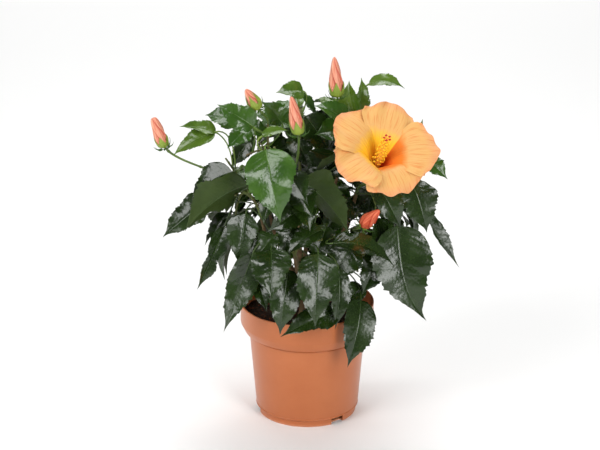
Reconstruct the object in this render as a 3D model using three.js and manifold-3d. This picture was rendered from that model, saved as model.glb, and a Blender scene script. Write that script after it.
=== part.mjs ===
// Potted hibiscus shrub in flower: plastic nursery pot, potting soil, a short woody trunk,
// twelve boughs, eleven masses of foliage, one open bloom and five buds.
// Units are millimetres, +Z is up, +X is the right hand side seen from the front, and the
// front faces -Y. The origin is the centre of the pot's flat underside.

import * as THREE from 'three';
import { mergeVertices } from 'three/addons/utils/BufferGeometryUtils.js';
import Module from 'manifold-3d';

const wasm = await Module();
wasm.setup();

// Driving dimensions of the pot and its soil
const POT_HEIGHT = 114;
const RIM_RADIUS = 65;
const COLLAR_STRAIGHT_FOOT = 94;
const COLLAR_BOTTOM = 85.6;
const COLLAR_BOTTOM_RADIUS = 61;
const BODY_TOP_RADIUS = 56.6;
const BODY_FOOT_RADIUS = 50;
const FOOT_HEIGHT = 8;
const FOOT_RADIUS = 48;
const POT_WALL = 1.5;
const POT_SIDES = 32;
const SOIL_SIDES = 20;
const NOTCH_ANGLES = [-52, 68, 188];
const NOTCH_WIDTH_ANGLE = 17;
const NOTCH_HEIGHT = 6;
const NOTCH_DEPTH = 5;
const SOIL_TOP = 100;
const SOIL_CROWN = 1.6;
const CLEARANCE = 0.3;
const FINEST_SEAM = 0.02;

// Driving dimensions of the trunk and boughs
const TRUNK_FOOT = new THREE.Vector3(0, 0, SOIL_TOP + SOIL_CROWN + CLEARANCE);
const TRUNK_FORK = new THREE.Vector3(-8, 2, 150);
const TRUNK_RADIUS = 6.2;
const TRUNK_FORK_RADIUS = 5.4;
const ROOT_FLARE = 3.4;
const BOUGH_ROOT_RADIUS = 2.5;
const BOUGH_TIP_RADIUS = 1.5;
const BOUGH_RISE = 0.7;

// Driving dimensions of shoots, stalks and leaves
const SIDE_SHOOT_RADIUS = 1.2;
const FIRST_FORK = 0.28;
const FORK_SPACING = 0.1;
const FIRST_TWIG = 0.45;
const TWIG_RADIUS = 1.1;
const TWIG_LENGTH = 22;
const TWIG_LENGTH_SPREAD = 12;
const SHOOT_TIP_RADIUS = 0.9;
const LEAF_STALK_RADIUS = 0.8;
const LEAF_WIDEST = 0.32;
const LEAF_SHAPE_BASE = 0.55;
const LEAF_SHAPE_TIP = 1.17;
const LEAF_WAVE = 0.12;
const LEAF_TOOTH = 0.06;
const WIDE_LEAF = 31;
const WIDE_STATIONS = [0.08, 0.24, 0.42, 0.6, 0.8];
const SLIM_STATIONS = [0.1, 0.34, 0.58, 0.8];

// The crown that grown leaves stay within, and what they keep clear of
const CROWN_CENTRE = new THREE.Vector3(2, 8, 212);
const CROWN_RADII = new THREE.Vector3(118, 116, 104);
const CROWN_AXIS = new THREE.Vector3(0, 4, 0);
const POT_GUARD_RADIUS = 72;
const POT_GUARD_HEIGHT = 122;
const BLADE_THICKNESS = 1.2;
const BLADE_SLIMNESS = 45;
const SPACE_BLADE = 3;
const SPACE_STALK = 1.3;
const SAME_MASS_SHARE = 0.72;
const GOLDEN_ANGLE = 2.39996;
const GROWING_TRIES = 1500;
const GAP_SIGHT = new THREE.Vector3(0, -0.94, 0.35);
const GAP_DEPTH = 100;
const LAST_LEAF_SHARE = 0.6;

const UP = new THREE.Vector3(0, 0, 1);
const VIEWER = [0, -0.85, 0.5];
const HANGING = [0, -0.95, 0.3];
const SKYWARD = [0, -0.3, 0.95];
const TURNED_AWAY = [-0.1, 0.75, 0.6];

// Gaps in the crown that the sky shows through from the front: a place and a radius
const skyGaps = [
  { at: [-66, 0, 268], radius: 12 },
  { at: [-96, 0, 265], radius: 13 },
  { at: [-7, 0, 280], radius: 6 },
];

// Each bough leaves the trunk at a height and ends where it enters its mass of foliage.
// A mass has a reach around its middle, shoots that end at given places, the leaves that show
// plainly from the front, and a number of further leaves that a seeded rule grows.
// A shown leaf is its base, tip, width, the way that its upper side faces, and its fold in
// degrees; its arch is a share of its length, and its sway moves the tip sideways.
const boughs = [
  { name: 'left', height: 121, tip: [-44, -14, 205] },
  { name: 'upper_left', height: 138, tip: [-33, -8, 240] },
  { name: 'top', height: 146, tip: [-7, 0, 246] },
  { name: 'upper_right', height: 141, tip: [30, 8, 250] },
  { name: 'bloom', height: 131, tip: [47, -3, 226] },
  { name: 'right', height: 122, tip: [52, -16, 186] },
  { name: 'front', height: 134, tip: [-14, -22, 205] },
  { name: 'front_low', height: 121, tip: [-8, -34, 160] },
  { name: 'right_low', height: 113.5, tip: [34, -16, 146] },
  { name: 'back_left', height: 127, tip: [-36, 34, 190] },
  { name: 'back', height: 134, tip: [2, 42, 200] },
  { name: 'back_right', height: 124, tip: [42, 34, 188] },
];

const masses = [
  {
    name: 'left', seed: 11, middle: [-74, 2, 196], reach: 62, grown: 9, twigs: 1,
    shoots: [[-86, -20, 252], [-77, -24, 268], [-70, 16, 186]],
    shown: [
      { base: [-56, -46, 250], tip: [-115, -62, 209], width: 54, face: TURNED_AWAY, fold: 14 },
      { base: [-70, -36, 258], tip: [-110, -44, 229], width: 32, face: [-0.5, -0.5, 0.7], fold: 24 },
      { base: [-95, -16, 222], tip: [-138, -26, 189], width: 32,
        face: [-0.3, -0.7, 0.6], fold: 14, arch: 0.04 },
      { base: [-78, -38, 205], tip: [-105, -46, 143], width: 22,
        face: [0.3, -0.9, 0.3], fold: 26, arch: 0.05 },
      { base: [-86, -22, 293], tip: [-120, -26, 300], width: 17, face: [0, -0.5, 0.85], fold: 20 },
      { base: [-87, -24, 294], tip: [-126, -30, 273], width: 22, face: [-0.2, -0.6, 0.75], fold: 10 },
    ],
  },
  {
    name: 'upper_left', seed: 23, middle: [-56, 2, 292], reach: 54, grown: 2, twigs: 1,
    shoots: [[-37, -20, 301]],
    shown: [
      { base: [-50, -42, 305], tip: [-84, -36, 325], width: 26, face: [-0.2, -0.75, 0.6], fold: 12 },
      { base: [-62, -12, 299], tip: [-97, 0, 303], width: 26, face: [-0.1, -0.6, 0.75], fold: 14 },
      { base: [-52, -4, 284], tip: [-72, -10, 254], width: 20, face: VIEWER, fold: 12 },
      { base: [-54, -30, 299], tip: [-75, -40, 283], width: 22, face: [-0.4, -0.8, 0.4], fold: 16 },
      { base: [-24, -6, 297], tip: [-43, -14, 321], width: 26, face: [0.1, -0.8, 0.6], fold: 12 },
    ],
  },
  {
    name: 'top', seed: 37, middle: [0, 14, 286], reach: 62, grown: 5, twigs: 1,
    shoots: [[-6, 6, 308], [-10, -24, 264]],
    shown: [
      { base: [-4, 8, 324], tip: [-30, -6, 327], width: 20, face: [-0.2, -0.75, 0.6], fold: 12 },
      { base: [-2, 2, 301], tip: [24, -3, 262], width: 32, face: [0.2, -0.8, 0.5], fold: 12 },
      { base: [-8, 10, 320], tip: [8, 14, 294], width: 18, face: [0.5, -0.3, 0.8], fold: 16 },
      { base: [-12, 2, 286], tip: [2, -6, 250], width: 24, face: VIEWER, fold: 12 },
    ],
  },
  {
    name: 'upper_right', seed: 41, middle: [50, 22, 280], reach: 66, grown: 6, twigs: 1,
    shoots: [[33, -2, 299], [52, 4, 292]],
    shown: [
      { base: [36, -14, 302], tip: [6, -24, 320], width: 26, face: [0, -0.6, 0.8], fold: 16 },
      { base: [42, -9, 291], tip: [6, -17, 289], width: 33, face: [0, -0.75, 0.65], fold: 12 },
      { base: [26, -12, 270], tip: [2, -26, 232], width: 36, face: [-0.2, -0.8, 0.5], fold: 12 },
      { base: [58, 8, 331], tip: [92, 4, 328], width: 18, face: [0, -0.45, 0.9], fold: 14, arch: 0.2 },
      { base: [44, -2, 306], tip: [39, -2, 338], width: 24, face: [-0.4, -0.85, 0.3], fold: 22 },
      { base: [47, 6, 304], tip: [51, 10, 337], width: 20, face: [0.5, -0.75, 0.3], fold: 24 },
      { base: [98, -6, 276], tip: [109, -8, 302], width: 14, face: [0.3, -0.8, 0.5], fold: 20 },
    ],
  },
  {
    name: 'right', seed: 53, middle: [82, 0, 204], reach: 68, grown: 7, twigs: 1,
    shoots: [[92, -16, 232], [45, -30, 200]],
    shown: [
      { base: [40, -14, 224], tip: [14, -26, 190], width: 30, face: VIEWER, fold: 12 },
      { base: [110, -10, 262], tip: [133, -16, 244], width: 20, face: [0.4, -0.7, 0.6], fold: 16 },
      { base: [98, -26, 245], tip: [113, -38, 198], width: 36, face: [0.3, -0.9, 0.3], fold: 14 },
      { base: [113, -4, 206], tip: [147, -8, 151], width: 20,
        face: [0.7, -0.6, 0.4], fold: 34, arch: -0.04 },
      { base: [67, -40, 245], tip: [88, -48, 206], width: 27, face: [0.1, -0.8, 0.55], fold: 16 },
      { base: [85, -34, 204], tip: [94, -54, 112], width: 57,
        face: [0.1, -0.95, 0.3], fold: 13, arch: 0.04, sway: -20 },
      { base: [66, 12, 236], tip: [56, 3, 196], width: 30, face: VIEWER, fold: 12 },
      { base: [82, -10, 160], tip: [56, -14, 140], width: 18, face: [0, -0.5, 0.85], fold: 16 },
      { base: [24, -70, 200], tip: [82, -64, 174], width: 30, face: SKYWARD, fold: 12, arch: 0.16 },
    ],
  },
  {
    name: 'front', seed: 67, middle: [-6, -38, 250], reach: 58, grown: 4, twigs: 1,
    shoots: [[-31, -42, 285], [16, -30, 250]],
    shown: [
      { base: [-39, -58, 288], tip: [-25, -80, 224], width: 47, face: HANGING, fold: 13 },
      { base: [-6, -40, 252], tip: [39, -56, 204], width: 46, face: TURNED_AWAY, fold: 12 },
      { base: [31, -30, 270], tip: [5, -42, 254], width: 24, face: [0, 0.6, 0.8], fold: 14 },
      { base: [-42, -48, 298], tip: [-17, -43, 302], width: 13, face: [0, -0.4, 0.9], fold: 14 },
    ],
  },
  {
    name: 'front_low', seed: 71, middle: [-14, -58, 176], reach: 64, grown: 3, twigs: 1,
    shoots: [[-36, -46, 200], [14, -50, 196]],
    shown: [
      { base: [14, -50, 206], tip: [-20, -62, 184], width: 28, face: SKYWARD, fold: 14 },
      { base: [2, -42, 228], tip: [-38, -56, 206], width: 30, face: VIEWER, fold: 12 },
      { base: [-14, -38, 206], tip: [-24, -50, 176], width: 24, face: VIEWER, fold: 12 },
      { base: [18, -38, 205], tip: [6, -50, 172], width: 26, face: VIEWER, fold: 12 },
      { base: [-30, -52, 201], tip: [-51, -64, 177], width: 24, face: [-0.3, -0.7, 0.6], fold: 14 },
      { base: [-58, -44, 220], tip: [-65, -58, 172], width: 30,
        face: [-0.2, -0.95, 0.3], fold: 18, arch: 0.03 },
      { base: [-51, -62, 187], tip: [-79, -80, 114], width: 30,
        face: [-0.1, -0.95, 0.3], fold: 14, arch: -0.05 },
      { base: [-34, -67, 192], tip: [-33, -96, 153], width: 38, face: VIEWER, fold: 16 },
      { base: [-18, -66, 172], tip: [-26, -86, 113], width: 32, face: HANGING, fold: 15 },
      { base: [-48, -54, 162], tip: [-38, -74, 132], width: 20, face: [0, -0.8, 0.5], fold: 16 },
      { base: [10, -72, 190], tip: [7, -100, 127], width: 39, face: VIEWER, fold: 14 },
      { base: [30, -64, 128], tip: [-26, -82, 110], width: 28, face: [0.1, -0.6, 0.75], fold: 18 },
      { base: [29, -58, 170], tip: [26, -76, 115], width: 22, face: [0.4, -0.85, 0.3], fold: 18 },
    ],
  },
  {
    name: 'right_low', seed: 83, middle: [58, -8, 160], reach: 56, grown: 0, twigs: 0,
    shoots: [[60, -22, 172]],
    shown: [
      { base: [44, -36, 187], tip: [18, -50, 148], width: 34, face: VIEWER, fold: 14 },
      { base: [71, -30, 174], tip: [52, -46, 138], width: 28, face: VIEWER, fold: 14 },
      { base: [51, -46, 133], tip: [38, -72, 74], width: 34, face: [0.3, -0.85, 0.35], fold: 15 },
      { base: [52, -32, 142], tip: [28, -52, 121], width: 22, face: [0.2, -0.6, 0.75], fold: 14 },
    ],
  },
  {
    name: 'back_left', seed: 97, middle: [-64, 56, 196], reach: 84, grown: 10, twigs: 2,
    shoots: [[-52, 48, 240], [-50, 66, 180]],
    shown: [
      { base: [-64, 42, 170], tip: [-80, 46, 122], width: 31, face: [-0.9, 0.3, 0.3], fold: 15 },
      { base: [-36, 68, 170], tip: [-44, 84, 122], width: 32, face: [-0.3, 0.9, 0.3], fold: 14 },
    ],
  },
  {
    name: 'back', seed: 101, middle: [0, 76, 204], reach: 84, grown: 11, twigs: 2,
    shoots: [[4, 58, 256], [8, 78, 184]],
    shown: [
      { base: [-4, 74, 172], tip: [-12, 90, 122], width: 32, face: [0, 0.95, 0.3], fold: 15 },
      { base: [22, 72, 176], tip: [32, 90, 130], width: 30, face: [0.1, 0.95, 0.3], fold: 13 },
    ],
  },
  {
    name: 'back_right', seed: 131, middle: [66, 56, 196], reach: 84, grown: 12, twigs: 2,
    shoots: [[56, 46, 236], [60, 60, 176]],
    shown: [
      { base: [56, 62, 164], tip: [62, 78, 119], width: 31, face: [0.4, 0.9, 0.3], fold: 14 },
      { base: [68, 38, 172], tip: [84, 44, 124], width: 31, face: [0.9, 0.3, 0.3], fold: 15 },
    ],
  },
];

// A flower stalk goes on from the end of the shoot or bough that it names, to the foot of its
// calyx. A bud points from there to its tip.
const buds = [
  { name: 'left', mass: 'left', shoot: 0, foot: [-134, -25, 279], tip: [-144, -27, 309], width: 12.5 },
  { name: 'upper_left', mass: 'upper_left', shoot: 0,
    foot: [-46, -31, 319], tip: [-57, -38, 340], width: 13 },
  { name: 'centre', mass: 'top', shoot: 1, foot: [-8, -45, 298], tip: [-15, -47, 336], width: 13.5 },
  { name: 'top', mass: 'upper_right', shoot: 0, foot: [28, -5, 322], tip: [25, -6, 362], width: 14.5 },
  { name: 'right', mass: 'right', shoot: 1, foot: [52, -47, 209], tip: [67, -62, 230], width: 14.5 },
];

const bloom = {
  throat: [64, -46, 267],
  axis: [0.19, -0.57, 0.8],
  stalkFoot: 24,
  petalTurn: -11,
  petals: 5,
  radius: 54,
  petalWidth: 57,
  cornerDrop: 16,
  funnelRise: 32,
  throatDepth: 9,
  ruffle: 2.6,
  columnLength: 48,
};

// Seeded numbers between 0 and 1, the same in every run
function seededNumbers(seed) {
  let state = seed;
  return () => {
    state = (state * 48271) % 2147483647;
    return state / 2147483647;
  };
}

function vector(numbers) {
  return new THREE.Vector3(...numbers);
}

function unit(direction) {
  return direction.clone().normalize();
}

// A closed body from corner points and triangles
function bodyFrom(corners, triangles) {
  const geometry = new THREE.BufferGeometry();
  const numbers = corners.flatMap((corner) => corner.toArray());
  geometry.setAttribute('position', new THREE.Float32BufferAttribute(numbers, 3));
  geometry.setIndex(triangles.flat());
  return solidOf(geometry);
}

function solidOf(geometry) {
  const bare = geometry.clone();
  bare.deleteAttribute('normal');
  bare.deleteAttribute('uv');
  const joined = mergeVertices(bare, 1e-4);
  const solid = new wasm.Manifold(new wasm.Mesh({
    numProp: 3,
    vertProperties: new Float32Array(joined.attributes.position.array),
    triVerts: new Uint32Array(joined.index.array),
  }));
  return solid;
}

// One body out of many: a loose scrap is dropped and a hollow that fusing seals is filled
function fuse(parts) {
  const whole = parts.reduce((sum, part) => sum.add(part));
  return largestPiece(whole);
}

function largestPiece(solid) {
  const pieces = solid.decompose();
  return cleanSeams(pieces.reduce((best, piece) => (piece.volume() > best.volume() ? piece : best)));
}

// Where surfaces cross, slivers finer than FINEST_SEAM are smoothed away from the cut
function cleanSeams(solid) {
  let clean = solid;
  for (let pass = 0; pass < 2; pass += 1) {
    const { vertProperties, triVerts } = clean.getMesh();
    const mesh = new wasm.Mesh({ numProp: 3, vertProperties, triVerts, tolerance: FINEST_SEAM });
    clean = new wasm.Manifold(mesh).simplify(2 * FINEST_SEAM);
  }
  return clean;
}

function geometryOf(solid) {
  const mesh = solid.getMesh();
  const geometry = new THREE.BufferGeometry();
  geometry.setAttribute('position', new THREE.BufferAttribute(new Float32Array(mesh.vertProperties), 3));
  geometry.setIndex(new THREE.BufferAttribute(new Uint32Array(mesh.triVerts), 1));
  geometry.computeVertexNormals();
  return geometry;
}

// A tapering limb through places along a curve, with a radius at each
function limb(places, radii, sides, headings = []) {
  const corners = [];
  const triangles = [];
  let across = null;
  places.forEach((place, i) => {
    const before = places[Math.max(i - 1, 0)];
    const after = places[Math.min(i + 1, places.length - 1)];
    const along = headings[i] ?? unit(after.clone().sub(before));
    if (across === null) {
      const helper = Math.abs(along.z) < 0.9 ? UP : new THREE.Vector3(1, 0, 0);
      across = unit(new THREE.Vector3().crossVectors(along, helper));
    } else {
      across = unit(across.addScaledVector(along, -across.dot(along)));
    }
    const other = new THREE.Vector3().crossVectors(along, across);
    for (let k = 0; k < sides; k += 1) {
      const angle = (2 * Math.PI * k) / sides;
      corners.push(place.clone()
        .addScaledVector(across, radii[i] * Math.cos(angle))
        .addScaledVector(other, radii[i] * Math.sin(angle)));
    }
  });
  const last = (places.length - 1) * sides;
  for (let i = 0; i < last; i += sides) {
    for (let k = 0; k < sides; k += 1) {
      const next = (k + 1) % sides;
      triangles.push([i + k, i + next, i + sides + next], [i + k, i + sides + next, i + sides + k]);
    }
  }
  for (let k = 1; k < sides - 1; k += 1) {
    triangles.push([0, k + 1, k], [last, last + k, last + k + 1]);
  }
  return bodyFrom(corners, triangles);
}

function limbAlong(curve, radii, steps, sides) {
  const headings = spread(0, 1, steps).map((t) => curve.getTangent(t));
  return limb(curve.getPoints(steps), spread(...radii, steps), sides, headings);
}

function spread(from, to, count) {
  return Array.from({ length: count + 1 }, (_, i) => from + ((to - from) * i) / count);
}

// Pot: one turned plastic wall with a collar, and three drainage notches in its foot
function makePot() {
  const innerCollar = COLLAR_BOTTOM - POT_WALL;
  const profile = [
    [0, 0],
    [FOOT_RADIUS, 0],
    [FOOT_RADIUS, FOOT_HEIGHT - 0.8],
    [BODY_FOOT_RADIUS, FOOT_HEIGHT],
    [BODY_TOP_RADIUS, COLLAR_BOTTOM],
    [COLLAR_BOTTOM_RADIUS, COLLAR_BOTTOM],
    [RIM_RADIUS, COLLAR_STRAIGHT_FOOT],
    [RIM_RADIUS, POT_HEIGHT - 0.5],
    [RIM_RADIUS - 0.5, POT_HEIGHT],
    [RIM_RADIUS - POT_WALL, POT_HEIGHT],
    [RIM_RADIUS - POT_WALL, COLLAR_STRAIGHT_FOOT + 0.5],
    [COLLAR_BOTTOM_RADIUS - POT_WALL, COLLAR_BOTTOM + POT_WALL],
    [BODY_TOP_RADIUS - POT_WALL, innerCollar + POT_WALL],
    [FOOT_RADIUS - POT_WALL, POT_WALL],
    [0, POT_WALL],
  ].map(([radius, height]) => new THREE.Vector2(radius, height));
  const wall = solidOf(new THREE.LatheGeometry(profile, POT_SIDES).rotateX(Math.PI / 2));
  return largestPiece(NOTCH_ANGLES.reduce((pot, angle) => pot.subtract(drainageNotch(angle)), wall));
}

function drainageNotch(angle) {
  const half = NOTCH_WIDTH_ANGLE / 2;
  const inner = FOOT_RADIUS - NOTCH_DEPTH;
  const outer = BODY_FOOT_RADIUS + 4;
  const outline = new THREE.Shape();
  const start = THREE.MathUtils.degToRad(angle - half);
  const end = THREE.MathUtils.degToRad(angle + half);
  outline.absarc(0, 0, outer, start, end, false);
  outline.absarc(0, 0, inner, end, start, true);
  const block = { depth: NOTCH_HEIGHT + 1, bevelEnabled: false, curveSegments: 3 };
  return solidOf(new THREE.ExtrudeGeometry(outline, block).translate(0, 0, -1));
}

// Soil: fills the pot, slightly heaped at the trunk
function makeSoil() {
  const gap = POT_WALL + CLEARANCE;
  const profile = [
    [0, gap],
    [FOOT_RADIUS - NOTCH_DEPTH - CLEARANCE, gap],
    [FOOT_RADIUS - NOTCH_DEPTH - CLEARANCE, FOOT_HEIGHT + 1],
    [BODY_TOP_RADIUS - gap - 0.4, COLLAR_BOTTOM],
    [COLLAR_BOTTOM_RADIUS - gap - 0.6, COLLAR_BOTTOM + gap + 0.4],
    [RIM_RADIUS - gap - 0.2, COLLAR_STRAIGHT_FOOT + 1.2],
    [RIM_RADIUS - gap - 0.2, SOIL_TOP - 1],
    [40, SOIL_TOP],
    [14, SOIL_TOP + SOIL_CROWN],
    [0, SOIL_TOP + SOIL_CROWN],
  ].map(([radius, height]) => new THREE.Vector2(radius, height));
  return solidOf(new THREE.LatheGeometry(profile, SOIL_SIDES).rotateX(Math.PI / 2));
}

// Trunk: from a flat cut at the soil, through its root flare, leaning to its fork
function trunkPlace(height) {
  const t = (height - TRUNK_FOOT.z) / (TRUNK_FORK.z - TRUNK_FOOT.z);
  return TRUNK_FOOT.clone().lerp(TRUNK_FORK, t).setZ(height);
}

function trunkRadius(height) {
  const t = (height - TRUNK_FOOT.z) / (TRUNK_FORK.z - TRUNK_FOOT.z);
  const flare = ROOT_FLARE * Math.exp(-(height - TRUNK_FOOT.z) / 4);
  return TRUNK_RADIUS + (TRUNK_FORK_RADIUS - TRUNK_RADIUS) * t + flare;
}

function makeTrunk(extra) {
  const heights = [0, 3, 7, 14, 26, 38].map((rise) => TRUNK_FOOT.z + rise).concat(TRUNK_FORK.z + extra);
  const corners = [];
  const sides = 12;
  heights.forEach((height) => {
    const middle = trunkPlace(height);
    for (let k = 0; k < sides; k += 1) {
      const angle = (2 * Math.PI * k) / sides;
      const lobe = 1 + 0.1 * Math.cos(3 * angle) * Math.exp(-(height - TRUNK_FOOT.z) / 8);
      const radius = trunkRadius(height) * lobe + extra;
      const outward = new THREE.Vector3(Math.cos(angle), Math.sin(angle), 0);
      corners.push(middle.clone().addScaledVector(outward, radius));
    }
  });
  const triangles = [];
  const last = (heights.length - 1) * sides;
  for (let i = 0; i < last; i += sides) {
    for (let k = 0; k < sides; k += 1) {
      const next = (k + 1) % sides;
      triangles.push([i + k, i + next, i + sides + next], [i + k, i + sides + next, i + sides + k]);
    }
  }
  for (let k = 1; k < sides - 1; k += 1) {
    triangles.push([0, k + 1, k], [last, last + k, last + k + 1]);
  }
  return bodyFrom(corners, triangles);
}

// Boughs: each leaves the trunk outward, turns upward, and is cut clear of the trunk's bark
function boughCurve(bough) {
  const start = trunkPlace(bough.height);
  const tip = vector(bough.tip);
  const length = start.distanceTo(tip);
  const outward = bough.name === 'top' ? UP : unit(new THREE.Vector3(tip.x - start.x, tip.y - start.y, 0));
  const leaving = unit(outward.clone().addScaledVector(UP, BOUGH_RISE));
  return new THREE.CubicBezierCurve3(
    start,
    start.clone().addScaledVector(leaving, 0.3 * length),
    tip.clone().addScaledVector(UP, -0.3 * length).addScaledVector(outward, -0.06 * length),
    tip,
  );
}

function makeBough(bough, trunkSpace) {
  const whole = limbAlong(boughCurve(bough), [BOUGH_ROOT_RADIUS, BOUGH_TIP_RADIUS], 5, 5);
  return largestPiece(whole.subtract(trunkSpace));
}

// Shoots of a mass: the first goes on from the bough's tip, the others branch from it
function shootCurve(start, heading, end) {
  const length = start.distanceTo(end);
  const bend = start.clone().addScaledVector(heading, 0.45 * length);
  return new THREE.QuadraticBezierCurve3(start, bend, end);
}

function growShoots(mass) {
  const bough = boughCurve(boughs.find((one) => one.name === mass.name));
  const heading = bough.getTangent(1);
  const start = bough.getPoint(1).addScaledVector(heading, CLEARANCE);
  const stem = shootCurve(start, heading, vector(mass.shoots[0]));
  const shoots = [{ curve: stem, radii: [BOUGH_TIP_RADIUS, SHOOT_TIP_RADIUS] }];
  mass.shoots.slice(1).forEach((end, i) => {
    const t = FIRST_FORK + FORK_SPACING * i;
    const from = stem.getPoint(t);
    const curve = shootCurve(from, stem.getTangent(t), vector(end));
    shoots.push({ curve, radii: [SIDE_SHOOT_RADIUS, SHOOT_TIP_RADIUS] });
  });
  const draw = seededNumbers(mass.seed * 1000 + 7);
  for (let i = 0; i < mass.twigs; i += 1) {
    const t = FIRST_TWIG + (0.45 * i) / mass.twigs;
    const from = stem.getPoint(t);
    const turn = mass.seed + i * GOLDEN_ANGLE;
    const away = unit(new THREE.Vector3(from.x - CROWN_AXIS.x, from.y - CROWN_AXIS.y, 0));
    const toward = away.multiplyScalar(0.7)
      .add(new THREE.Vector3(0.8 * Math.cos(turn), 0.8 * Math.sin(turn), 0.35)).normalize();
    const end = from.clone().addScaledVector(toward, TWIG_LENGTH + TWIG_LENGTH_SPREAD * draw());
    const curve = shootCurve(from, stem.getTangent(t), end);
    shoots.push({ curve, radii: [TWIG_RADIUS, SHOOT_TIP_RADIUS] });
  }
  return shoots;
}

// Leaf blade: an arched midrib with two halves folded up from it and waved along the margin
function bladeOf(leaf) {
  const base = vector(leaf.base);
  const tip = vector(leaf.tip);
  const chord = tip.clone().sub(base);
  const length = chord.length();
  const along = chord.clone().divideScalar(length);
  const face = vector(leaf.face);
  face.addScaledVector(along, -face.dot(along)).normalize();
  const bend = base.clone().addScaledVector(chord, 0.45)
    .addScaledVector(face, 2 * (leaf.arch ?? 0.1) * length);
  return {
    midrib: new THREE.QuadraticBezierCurve3(base, bend, tip),
    face,
    length,
    width: leaf.width,
    fold: THREE.MathUtils.degToRad(leaf.fold),
    sway: leaf.sway ?? 0,
  };
}

function bladeHalfWidth(blade, u) {
  const shape = (x) => x ** LEAF_SHAPE_BASE * (1 - x) ** LEAF_SHAPE_TIP;
  return (blade.width / 2) * (shape(u) / shape(LEAF_WIDEST));
}

// A place on a blade: u runs from its base to its tip, a from one margin to the other
function bladePlace(blade, u, a) {
  const along = blade.midrib.getTangent(u);
  const side = unit(new THREE.Vector3().crossVectors(along, blade.face));
  const normal = new THREE.Vector3().crossVectors(side, along);
  const half = bladeHalfWidth(blade, u);
  const wave = LEAF_WAVE * a * a * Math.sin(9.5 * u + (a > 0 ? 0 : 2));
  const out = a * half * Math.cos(blade.fold) + blade.sway * u ** 4;
  const lift = half * (Math.abs(a) * Math.sin(blade.fold) + wave);
  return {
    place: blade.midrib.getPoint(u).addScaledVector(side, out).addScaledVector(normal, lift),
    side,
    normal,
  };
}

// Leaf: a slim stalk that widens into the blade, as one body whose root is sunk in its shoot
function makeLeaf({ blade, stalkCurve, stalkSteps }) {
  const stalk = stalkCurve.getPoints(stalkSteps);
  const rings = [];
  let side = bladePlace(blade, 0, 0).side;
  for (let i = stalk.length - 1; i >= 0; i -= 1) {
    const atBlade = i === stalk.length - 1;
    const along = atBlade ? blade.midrib.getTangent(0) : unit(stalk[i + 1].clone().sub(stalk[i]));
    side = unit(side.clone().addScaledVector(along, -side.dot(along)));
    const normal = new THREE.Vector3().crossVectors(side, along);
    rings.unshift([[-1, 0], [0, 1], [1, 0], [0, -1]].map(([a, b]) => stalk[i].clone()
      .addScaledVector(side, a * LEAF_STALK_RADIUS)
      .addScaledVector(normal, b * LEAF_STALK_RADIUS)));
  }
  const thick = Math.max(BLADE_THICKNESS, blade.length / BLADE_SLIMNESS);
  const stations = blade.width > WIDE_LEAF ? WIDE_STATIONS : SLIM_STATIONS;
  stations.forEach((u, i) => {
    const tooth = 1 + (i % 2 === 0 ? -LEAF_TOOTH : LEAF_TOOTH) * u;
    const middle = bladePlace(blade, u, 0);
    rings.push([
      bladePlace(blade, u, -tooth).place,
      middle.place.clone().addScaledVector(middle.normal, thick / 2),
      bladePlace(blade, u, tooth).place,
      middle.place.clone().addScaledVector(middle.normal, -thick / 2),
    ]);
  });
  const corners = [...rings.flat(), bladePlace(blade, 1, 0).place];
  const tip = corners.length - 1;
  const triangles = [[0, 2, 1], [0, 3, 2]];
  // Above and below, each side slopes from its margin to the midrib, so that the two faces never cross
  for (let k = 0; k < 4; k += 1) {
    const next = (k + 1) % 4;
    for (let i = 0; i + 4 < tip; i += 4) {
      const [near, far] = k % 2 === 0 ? [i + k, i + 4 + next] : [i + next, i + 4 + k];
      triangles.push([i + k, i + next, far], [near, i + 4 + next, i + 4 + k]);
    }
    triangles.push([tip - 4 + k, tip - 4 + next, tip]);
  }
  return bodyFrom(corners, triangles);
}

// Leaf stalk: from the nearest place on a shoot, arching to the foot of the blade's midrib
function stalkOf(blade, root) {
  const base = blade.midrib.getPoint(0);
  const bend = base.clone().addScaledVector(blade.midrib.getTangent(0), -0.45 * base.distanceTo(root));
  return new THREE.QuadraticBezierCurve3(root, bend, base);
}

// Places along the shoots where a leaf can be rooted, with one leaf at each
function rootPlaces(shoots) {
  return shoots.flatMap((shoot) => spread(0.2, 0.86, 8).map((t) => shoot.curve.getPoint(t)));
}

function takeNearest(roots, place) {
  const nearest = roots.reduce((best, root) => (
    root.distanceTo(place) < best.distanceTo(place) ? root : best));
  roots.splice(roots.indexOf(nearest), 1);
  return nearest;
}

// Places that stand for a leaf or limb when the room around it is measured
function bladeMarks(blade) {
  const marks = [];
  spread(0.06, 0.98, 8).forEach((u) => {
    spread(-1, 1, 4).forEach((a) => marks.push({ at: bladePlace(blade, u, a).place, space: SPACE_BLADE }));
  });
  return marks;
}

function curveMarks(curve, count, space) {
  return spread(0, 1, count).map((t) => ({ at: curve.getPoint(t), space }));
}

const taken = [];

function take(marks, owner) {
  marks.forEach((mark) => taken.push({ ...mark, owner }));
}

function isFree(marks, owner) {
  return marks.every((mark) => taken.every((other) => {
    const share = other.owner === owner ? SAME_MASS_SHARE : 1;
    const need = (mark.space + other.space) * share;
    return mark.at.distanceToSquared(other.at) >= need * need;
  }));
}

function staysInside(marks, mass) {
  const middle = vector(mass.middle);
  return marks.every(({ at }) => {
    const crown = at.clone().sub(CROWN_CENTRE).divide(CROWN_RADII);
    const overPot = at.z > POT_GUARD_HEIGHT || Math.hypot(at.x, at.y) > POT_GUARD_RADIUS;
    return crown.length() <= 1 && at.distanceTo(middle) <= mass.reach && overPot;
  });
}

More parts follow.
